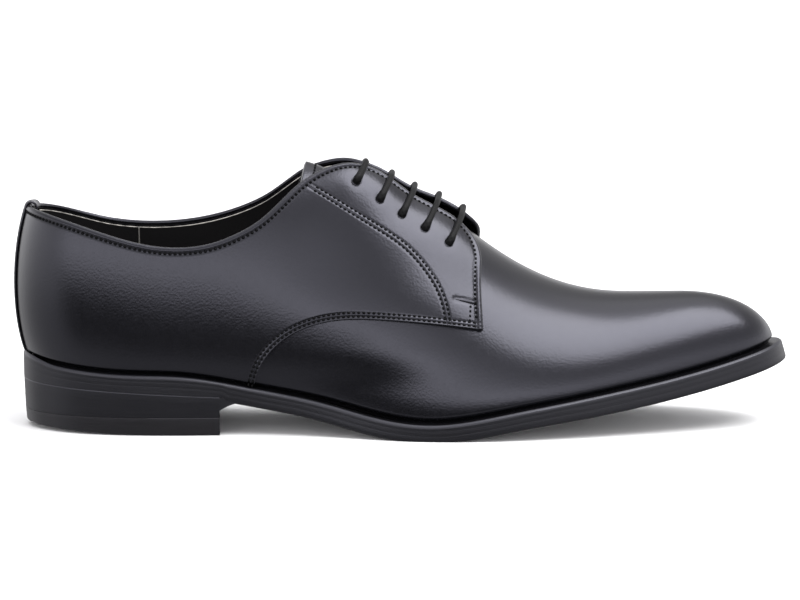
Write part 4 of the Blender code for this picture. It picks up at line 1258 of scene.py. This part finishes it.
def heel_ring(inset, height):
    """Plan of the heel moved inwards, from breast round the back to breast and straight across the front."""
    ends = HEEL_BREAST, HEEL_BREAST - BREAST_SKEW
    rows = [station_x(np.linspace(0, station_u(end), HEEL_POINTS)) for end in ends]
    lateral, medial = (edge_plan(side, x, margin(x) - inset) for side, x in zip(SIDES, rows))
    share = np.linspace(0, 1, BREAST_POINTS)[1:-1, None]
    front = medial[-1] * (1 - share) + lateral[-1] * share
    plan = np.vstack([lateral[::-1], medial[1:], front])
    return np.c_[plan, height(plan[:, 0])]


def heel_bottom(x):
    """Flat on the floor behind the breast, then lifted more and more towards the back edge."""
    return HEEL_BACK_RISE * (np.clip(HEEL_FLAT_FROM - x, 0, None) / HEEL_FLAT_FROM) ** HEEL_RISE_POWER


def heel_layer(name, look, top, bottom, lean, end, painted_highlight):
    """Rings of the layer's profile between two heights, leaning in, with strips across top and bottom."""
    levels = []
    for share, inset in np.vstack([LAYER_PROFILE, end]):
        inwards = lean[0] + (lean[1] - lean[0]) * share + inset
        levels.append(heel_ring(inwards, lambda x: top(x) * (1 - share) + bottom(x) * share))
    number = numbered((len(levels), len(levels[0])))
    count, around = number.shape
    far, i = 2 * (HEEL_POINTS - 1), np.arange(HEEL_POINTS - 1)
    strips = np.stack([i, i + 1, far - i - 1, far - i], -1).tolist()
    strips[-1] = strips[-1][:2] + strips[-1][3:]
    strips.append(np.r_[far:around, 0].tolist())
    faces = rings(number).tolist() + strips + [[(count - 1) * around + k for k in face] for face in strips]
    uv = np.concatenate([edge_map(ring, ring[:, 2].mean()) for ring in levels])
    # painted highlight on the two rows of the layer's top edge, in the given strength
    values = {"painted_highlight": np.repeat(np.r_[0, painted_highlight, painted_highlight, np.zeros(count - 3)], around)}
    return piece(name, np.concatenate(levels), faces, look, (name,), sharp=HEEL_SHARP, uv=uv, values=values)


def block_top(x):
    """The heel block meets the outsole in a hairline."""
    return heel_seam(x) + GAP - HAIRLINE


def block_bottom(x):
    """The block ends a hairline above the top piece."""
    return np.full_like(x, TOP_PIECE_HIGH + HAIRLINE)


def top_piece_top(x):
    """The top piece is flat on top."""
    return np.full_like(x, TOP_PIECE_HIGH)


# the heel block's top edge carries a painted highlight (0.6) as a lit hairline at the joint; the top piece
# carries none
heel_layer("heel_block", "rubber", block_top, block_bottom, (0.05, 0.5), JOINT_END, 0.6)
heel_layer("heel_top_piece", "top rubber", top_piece_top, heel_bottom, (0.5, 0.9), FLOOR_END, 0.0)

# %% [markdown]
# ### Fillet at the breast
# A small wedge fills the corner between the heel's breast and the sole. A bevel on a joined mesh could
# make it, but the heel is a piece of its own. So a slightly hollow profile is carried across the shoe,
# with its hidden sides inside heel and sole.

# %% Fillet at the breast
FILLET_LONG, FILLET_LOW, FILLET_TOP, FILLET_HOLLOW = 6.3, 9.75, 15.2, 0.35
FILLET_X, FILLET_INSET, FILLET_DEEP, FILLET_SHARP = 82.0, 0.25, 0.985, 0.6


def breast_fillet():
    """A slightly hollow wedge from the breast to the sole's underside, carried across the shoe."""
    share = np.linspace(0, 1, 24)
    breast = HEEL_BREAST - BREAST_SKEW * share
    outwards = margin(FILLET_X) - FILLET_INSET
    edges = [float(edge_plan(side, np.float64(FILLET_X), outwards)[1]) for side in SIDES]
    y = edges[0] + (edges[1] - edges[0]) * share
    front = breast + FILLET_LONG
    under = sole_top(front) - GAP - FILLET_DEEP * SOLE_THICK
    run = np.linspace(0, 1, 9)
    hollow = run + FILLET_HOLLOW * run * (1 - run)
    x = np.c_[breast[:, None] + FILLET_LONG * run, front, breast + 0.5, breast - 1.5, breast - 1.5]
    z = FILLET_LOW + (under - FILLET_LOW)[:, None] * hollow
    top, low = np.full_like(y, FILLET_TOP), np.full_like(y, FILLET_LOW)
    z = np.c_[z, under + 0.4, top, top, low]
    y = np.broadcast_to(y[:, None], x.shape)
    number = numbered(x.shape)
    faces = rings(number).tolist() + number[[0, -1]].tolist()
    uv = np.stack([y, z], -1)
    return piece("breast_fillet", np.stack([x, y, z], -1), faces, "rubber", sharp=FILLET_SHARP, uv=uv)


breast_fillet()

# %% [markdown]
# ## The lace
# A round waxed lace goes through each pair of punched holes as a straight bar, and from row to row
# under the facings. A Bezier curve with a bevel would make the tube too, but its points would have to
# be set by hand. Here the path is worked out on the surfaces, its corners are rounded, and a ring is
# carried along it.

# %% Lace
LACE_RADIUS, LACE_SLACK, LACE_PRESSED, LACE_BEND, LACE_SIDES = 1.2, 0.8, 0.55, 2.6, 14
LACE_SWELL, SWELL_LONG, SWELL_LIFT = 0.55, 2.6, 0.2
BAR_PLACES = np.array([-13.0, -7.0, 7.0, 13.0])


def rounded(corners, radius, fineness):
    """A path through corner points in which each corner is a parabola between its two legs."""
    before, here, after = corners[:-2], corners[1:-1], corners[2:]
    back, ahead = before - here, after - here
    legs = [np.linalg.norm(leg, axis=1, keepdims=True) for leg in (back, ahead)]
    trim = np.minimum(radius, 0.48 * np.minimum(*legs))
    start, end = here + back / legs[0] * trim, here + ahead / legs[1] * trim
    s = np.linspace(0, 1, fineness)[None, :, None]
    turned = parabola(start[:, None], here[:, None], end[:, None], s)
    return np.vstack([corners[:1], turned.reshape(-1, 3), corners[-1:]])


def tube(path, radius, sides):
    """Rings along a path; each ring carries on the last one's direction, less what points along the path."""
    ahead = unit(np.gradient(path, axis=0))
    across = np.empty_like(path)
    carry = np.array([1.0, 0.0, 0.0])
    for i, way in enumerate(ahead):
        carry = unit(carry - way * (carry @ way))
        across[i] = carry
    turn = np.linspace(0, 2 * np.pi, sides + 1)[None, :, None]
    other = np.cross(ahead, across)
    radius = np.broadcast_to(radius, len(path))[:, None, None]
    ring = path[:, None] + radius * (np.cos(turn) * across[:, None] + np.sin(turn) * other[:, None])
    number = numbered(ring.shape[:2])
    return ring, quads(number).tolist() + number[[0, -1], :-1].tolist()


def over(*place):
    """Level of the lace's bars over the facings, pressed a little into them."""
    return quarter_lift(*place) + GAP + LACE_RADIUS + LACE_SLACK - LACE_PRESSED


def under(*place):
    """Level of the lace's hidden runs under the facings."""
    return lining_lift(*place) - (GAP + LACE_RADIUS + LACE_SLACK)


def lace_path():
    """Corners of the lace: up through one eyelet, over, down through the other, under to the next row."""
    corners = []
    for row, x in enumerate(BAR_X):
        way = 1 if row % 2 else -1
        reach = EYELET_OFF[row] * way
        ends = FACING_MIDDLE + np.array([-reach, reach])
        into, out_of = zip(*place_across(np.full(2, x), ends, quarter_lift))
        corners += [on_last(*into, level(*into)) for level in (under, over)]
        corners += list(points_across(np.full(4, x), FACING_MIDDLE + way * BAR_PLACES, over))
        corners += [on_last(*out_of, level(*out_of)) for level in (over, under)]
        if row + 1 < len(BAR_X):
            between = np.linspace(x, BAR_X[row + 1], 4)[1:-1]
            corners += list(points_across(between, np.full(2, FACING_MIDDLE + reach), under))
    return np.array(corners)


path = rounded(lace_path(), LACE_BEND, 9)
swell = LACE_SWELL * bell(distance(path, eyelet_points(SWELL_LIFT)), 0, SWELL_LONG)
ring, faces = tube(path, LACE_RADIUS + swell, LACE_SIDES)
along = running_length(path)
uv = np.stack(np.broadcast_arrays(along[:, None], np.linspace(0, 1, LACE_SIDES + 1)), -1)
piece("lace", ring, faces, "lace", ("lace",), uv=uv)
print("lace length:", round(along[-1]), "mm")

# %% [markdown]
# ## Eyelets
# The holes are only punched, without metal. Cutting them out of the quarter would tear its grid, so
# each is a shallow black cup with a pressed lip, set on the facing where the lace goes in.

# %% Eyelets
# radius, height over the facing
EYELET_LIP = np.array(
    [(2.2, -0.45), (2.05, -0.25), (1.9, -0.2), (1.8, -0.3), (1.72, -0.5), (1.6, -0.9), (0.05, -0.9)]
)


def eyelets():
    """A profile of (radius, height) turned about the surface normal at every eyelet place."""
    centre = eyelet_points(0.0)
    normal = unit(eyelet_points(1.0) - centre)
    first = unit(np.cross(normal, (0.0, 1.0, 0.0)))
    second = np.cross(normal, first)
    turn = np.linspace(0, 2 * np.pi, 24, endpoint=False)[:, None]
    radius, height = (column[None, :, None, None] for column in EYELET_LIP.T)
    spoke = np.cos(turn) * first[:, None, :] + np.sin(turn) * second[:, None, :]
    points = centre[:, None, None] + radius * spoke[:, None] + height * normal[:, None, None]
    faces = np.concatenate([rings(number) for number in numbered(points.shape[:3])])
    return piece("eyelets", points, faces, "calf")


eyelets()

# %% [markdown]
# ## Stitches
# Every stitch is a short piece of thread that comes out of one hole and dives into the next. An array
# modifier along a curve could repeat one, but it can't follow the surface's normal. A row here is a
# path on the surface, moved in from an edge by a distance; its stitches are small capsules spaced along
# it, all made at once.

# %% Stitches
STITCH_PITCH, THREAD_RADIUS, STITCH_LONG = 1.95, 0.46, 0.4
STITCH_RINGS, STITCH_SIDES = 5, 6
STITCH_SUNK, BEAD_SUNK, PLACE_STEP = 0.18, 0.3, 1e-4


def moved_in(side, edge, gap):
    """Places of an edge moved square to it within the surface: a small step solved in (u, t)."""
    u, t = edge.T
    point = on_last(side, u, t, QUARTER_STEP)
    by_u = (on_last(side, u + PLACE_STEP, t, QUARTER_STEP) - point) / PLACE_STEP
    by_t = (on_last(side, u, t + PLACE_STEP, QUARTER_STEP) - point) / PLACE_STEP
    normal = np.cross(by_u, by_t) * -side
    step = np.cross(normal, np.gradient(point, axis=0)) * side
    step *= gap / np.linalg.norm(step, axis=1, keepdims=True)
    basis = np.stack([by_u, by_t], -1)
    turned = np.swapaxes(basis, 1, 2)
    return edge + np.linalg.solve(turned @ basis, turned @ step[..., None])[..., 0]


def stitches(path, normal):
    """Capsules along a path: five rings each, thin and low at both ends, high in the middle."""
    along = running_length(path)
    middle = np.arange(STITCH_PITCH / 2, along[-1], STITCH_PITCH)
    rows = path, np.gradient(path, along, axis=0), normal
    centre, ahead, up = (at_length(middle, along, row)[:, None, None] for row in rows)
    ahead, up = unit(ahead), unit(up)
    aside = np.cross(ahead, up)
    a = np.linspace(-1, 1, STITCH_RINGS)[None, :, None, None]
    turn = np.linspace(0, 2 * np.pi, STITCH_SIDES, endpoint=False)[None, None, :, None]
    thin = THREAD_RADIUS * np.sqrt(1 - 0.9 * a**4)
    rise = THREAD_RADIUS * (0.3 - 1.1 * a**4)
    points = centre + ahead * a * STITCH_PITCH * STITCH_LONG
    return points + up * (rise + thin * np.sin(turn)) + aside * thin * np.cos(turn)


def sewn(name, rows):
    """One piece from several rows, each a path with its normals: rings, and a cap on either end."""
    points = np.concatenate([stitches(path, normal) for path, normal in rows])
    number = numbered(points.shape[:3])
    faces = np.concatenate([rings(stitch) for stitch in number]).tolist()
    faces += number[:, 0].tolist() + number[:, -1].tolist()
    return piece(name, points, faces, "thread")


def on_quarter(side, places, sunk=STITCH_SUNK):
    """Path and normals of a row of places on the quarter, sunk into its stitch line."""
    u, t = places.T
    lift = quarter_lift(side, u, t)
    path = on_last(side, u, t, lift - sunk)
    return path, on_last(side, u, t, lift + 1) - path


for side, name in SIDES.items():
    rim = np.vstack([top_line(side), facing_edge(side)[1:]])
    rim = spaced(side, rim, np.linspace(0, 1, 500))
    low = spaced(side, lower_edge(side)[::-1], np.linspace(0, 1, 300))
    seam = spaced(side, by_height(side, FACING_SEAM), np.linspace(0, 1, 200))
    rows = [on_quarter(side, moved_in(side, rim, BEAD_STITCH)[4:-8], BEAD_SUNK)]
    rows += [on_quarter(side, moved_in(side, low, gap)[6:]) for gap in LOWER_STITCHES]
    rows += [on_quarter(side, moved_in(side, seam, gap)[7:-4]) for gap in (-SEAM_HALF, SEAM_HALF)]
    rows.append(on_quarter(side, by_height(side, TACK_STITCHES)))
    sewn(f"stitches_{name}", rows)

# %% Stitches of the tongue and the back strip
TONGUE_ROW, TONGUE_ROW_HALF, TONGUE_SUNK = 4.0, 21.0, 0.2
STRIP_SUNK, STRIP_ROW_FOOT, STRIP_ROW_TOP = 0.4, 1.0, 1.5


def tongue_row():
    """A row across the tongue, four millimetres from its cut end."""
    y = FACING_MIDDLE + np.linspace(-TONGUE_ROW_HALF, TONGUE_ROW_HALF, 120)
    x = np.full_like(y, TONGUE_END + TONGUE_ROW)
    x = x + tongue_lean(x, y)
    ups = -TONGUE_SUNK, 1.0
    path, above = (points_across(x, y, lambda side, u, t: tongue_lift(station_x(u)) + up) for up in ups)
    return path, above - path


def strip_row(across):
    """A row down the back strip, at a place across it."""
    side, u, ends = strip_place(across, (STRIP_FOOT + STRIP_ROW_FOOT, STRIP_TOP - STRIP_ROW_TOP))
    t = np.linspace(*ends, 120)
    lift = STRIP_NEAR[0] + STRIP_THICK - STRIP_SUNK + turned_in(last(side, u, t))
    path = on_last(side, u, t, lift)
    return path, on_last(side, u, t, lift + 1) - path


sewn("stitches_tongue", [tongue_row()])
sewn("stitches_back_strip", [strip_row(across) for across in (-STRIP_STITCH, STRIP_STITCH)])

# %% [markdown]
# ## Bar tacks and the lining seam
# A short raised tack closes the facing beside the front edge; it is a tube that tapers backwards, half
# sunk in the leather. Inside, the lining is joined by an upright seam whose pale edge shows on the far
# side. Both are too small for more than the lace's tube function.

# %% Bar tacks and the lining seam
TACK_SUNK, TACK_RADII = 0.1, (0.15, 0.62)
LINING_SEAM_X, LINING_SEAM_RADIUS, LINING_SEAM_RAW = 43.0, 0.3, 0.25

for side, name in SIDES.items():
    path, _ = on_quarter(side, by_height(side, TACK), TACK_SUNK)
    piece(f"tack_{name}", *tube(path, np.linspace(*TACK_RADII, len(path)), 10), "calf")

rim = top_line(1)
u = station_u(LINING_SEAM_X)
t = np.linspace(0.1, np.interp(u, rim[:, 0], rim[:, 1]) - LINING_DROP, 80)
seam = on_last(1, u, t, lining_lift(1, u, t) + LINING_OFF - LINING_THICK)
ring, faces = tube(seam, LINING_SEAM_RADIUS, 8)
piece("lining_seam", ring, faces, "lining", values={"raw": np.full(ring.shape[:2], LINING_SEAM_RAW)})

# %% [markdown]
# ## Paper and lights
# The studio is a large pale floor that curves up into a wall behind the shoe, with one softbox high over
# the toe and a light for the paper. The floor is wide, so that it fills the picture from other sides too.

# %% Paper and lights
FLOOR_HALF, CURVE_FROM, CURVE_RADIUS, WALL_HIGH = 9.0, 1.4, 1.0, 4.0


def backdrop():
    """A sheet carried along x: floor, a quarter circle, and an upright wall, in metres."""
    turn = np.linspace(0, np.pi / 2, 24)
    curve = np.c_[CURVE_FROM + CURVE_RADIUS * np.sin(turn), CURVE_RADIUS - CURVE_RADIUS * np.cos(turn)]
    profile = np.vstack([(-FLOOR_HALF, 0.0), curve, (CURVE_FROM + CURVE_RADIUS, WALL_HIGH)])
    x = np.linspace(-FLOOR_HALF, FLOOR_HALF, 9)
    points = np.stack([np.insert(profile, 0, at, axis=1) for at in x])
    mesh = bpy.data.meshes.new("backdrop")
    mesh.from_pydata(points.reshape(-1, 3).tolist(), [], quads(numbered(points.shape[:2])).tolist())
    mesh.shade_smooth()
    made = new_object("backdrop", mesh)
    made.visible_glossy = False
    paper = finish("white backdrop paper", Roughness=0.9, Base_Color=linear("#d8d8d8"))[0]
    mesh.materials.append(paper)


def softbox(name, place, aim, size, power):
    """An area light at place, turned to aim, both in metres."""
    light = bpy.data.lights.new(name, "AREA")
    light.shape = "RECTANGLE"
    light.size, light.size_y = size
    light.energy = power
    made = new_object(name, light)
    made.location = place
    way = np.asarray(aim, float) - place
    tilt, turn = np.arccos(-way[2] / np.linalg.norm(way)), np.arctan2(way[1], way[0]) - np.pi / 2
    made.rotation_euler = (tilt, 0, turn)
    return made


backdrop()
softbox("main", (0.5, -0.3, 1.05), (0, 0, 0.05), (0.8, 0.75), 16.5)
softbox("paper light", (0.0, 1.7, 1.6), (0, 1.8, 0), (2.4, 1.2), 16).visible_glossy = False
print("paper and two lights")

# %% [markdown]
# ## Surroundings
# Black leather shows little but reflections. Real reflector boards round the shoe would do, but they
# would show in other views, so gloss looks past the paper, at a world drawn by height: a dim table below,
# pale walls at the horizon and a soft ceiling above. In front, a dark gap lies under a bright window,
# and the world behind the shoe is dimmed.

# %% Surroundings
# elevation in degrees, brightness: all round, and in front
ALL_ROUND = np.array(
    [
        (-90, 0.4), (-30, 0.9), (-10, 0.9), (0, 1.7), (12, 2.5), (25, 1.2), (45, 0.9), (60, 2.0), (75, 2.4),
        (90, 4.5),
    ]
)
IN_FRONT = np.array(
    [
        (-90, 0.2), (-40, 0.4), (-27, 0.9), (-19, 0.2), (-12, 0.02), (-1, 0.02), (4, 3.2), (11, 5.0),
        (20, 2.6), (38, 1.9), (60, 2.0), (75, 2.4), (90, 4.5),
    ]
)
BRIGHTEST, DIM_BEHIND = 5.0, 0.5
COOL = np.array([0.985, 0.98, 1.0])
# direction, and where its mask starts and is full: in front, behind
MASKS = ((-0.22, -1.0, 0.0), 0.6, 0.9), ((0.0, 1.0, 0.0), 0.55, 0.95)

world = bpy.data.worlds.new("studio")
world.use_nodes = True
tree = world.node_tree
way = add(tree, "ShaderNodeTexCoord").outputs["Generated"]
height = add(tree, "ShaderNodeSeparateXYZ", {0: way}).outputs["Z"]
share = add(tree, "ShaderNodeMapRange", {"Value": height, "From Min": -1.0, "From Max": 1.0}).outputs[0]
tones = []
for table in (ALL_ROUND, IN_FRONT):
    made = add(tree, "ShaderNodeValToRGB", {"Fac": share})
    ramp = made.color_ramp
    stops = (np.sin(np.radians(table[:, 0])) + 1) / 2
    for stop in stops[1:-1]:
        ramp.elements.new(stop)
    for element, stop, bright in zip(ramp.elements, stops, table[:, 1] / BRIGHTEST):
        element.position = stop
        element.color = (*(bright * COOL), 1.0)
    tones.append(made.outputs["Color"])
masks = []
for toward, start, end in MASKS:
    facing = add(tree, "ShaderNodeVectorMath", {0: way, 1: toward}, operation="DOT_PRODUCT")
    reach = {"Value": facing.outputs["Value"], "From Min": start, "From Max": end}
    masks.append(add(tree, "ShaderNodeMapRange", reach, interpolation_type="SMOOTHSTEP").outputs[0])
both = add(tree, "ShaderNodeMix", {"Factor": masks[0], 6: tones[0], 7: tones[1]}, data_type="RGBA")
dimmed = add(tree, "ShaderNodeMath", {0: masks[1], 1: -DIM_BEHIND, 2: 1.0}, operation="MULTIPLY_ADD")
scaled = {0: both.outputs[2], "Scale": dimmed.outputs[0]}
shown = add(tree, "ShaderNodeVectorMath", scaled, operation="SCALE")
background = tree.nodes["Background"]
background.inputs["Strength"].default_value = BRIGHTEST
feed(tree, background, Color=shown.outputs[0])
bpy.context.scene.world = world
bpy.context.scene.view_settings.view_transform = "Standard"
print("surroundings of", len(ALL_ROUND), "and", len(IN_FRONT), "stops")
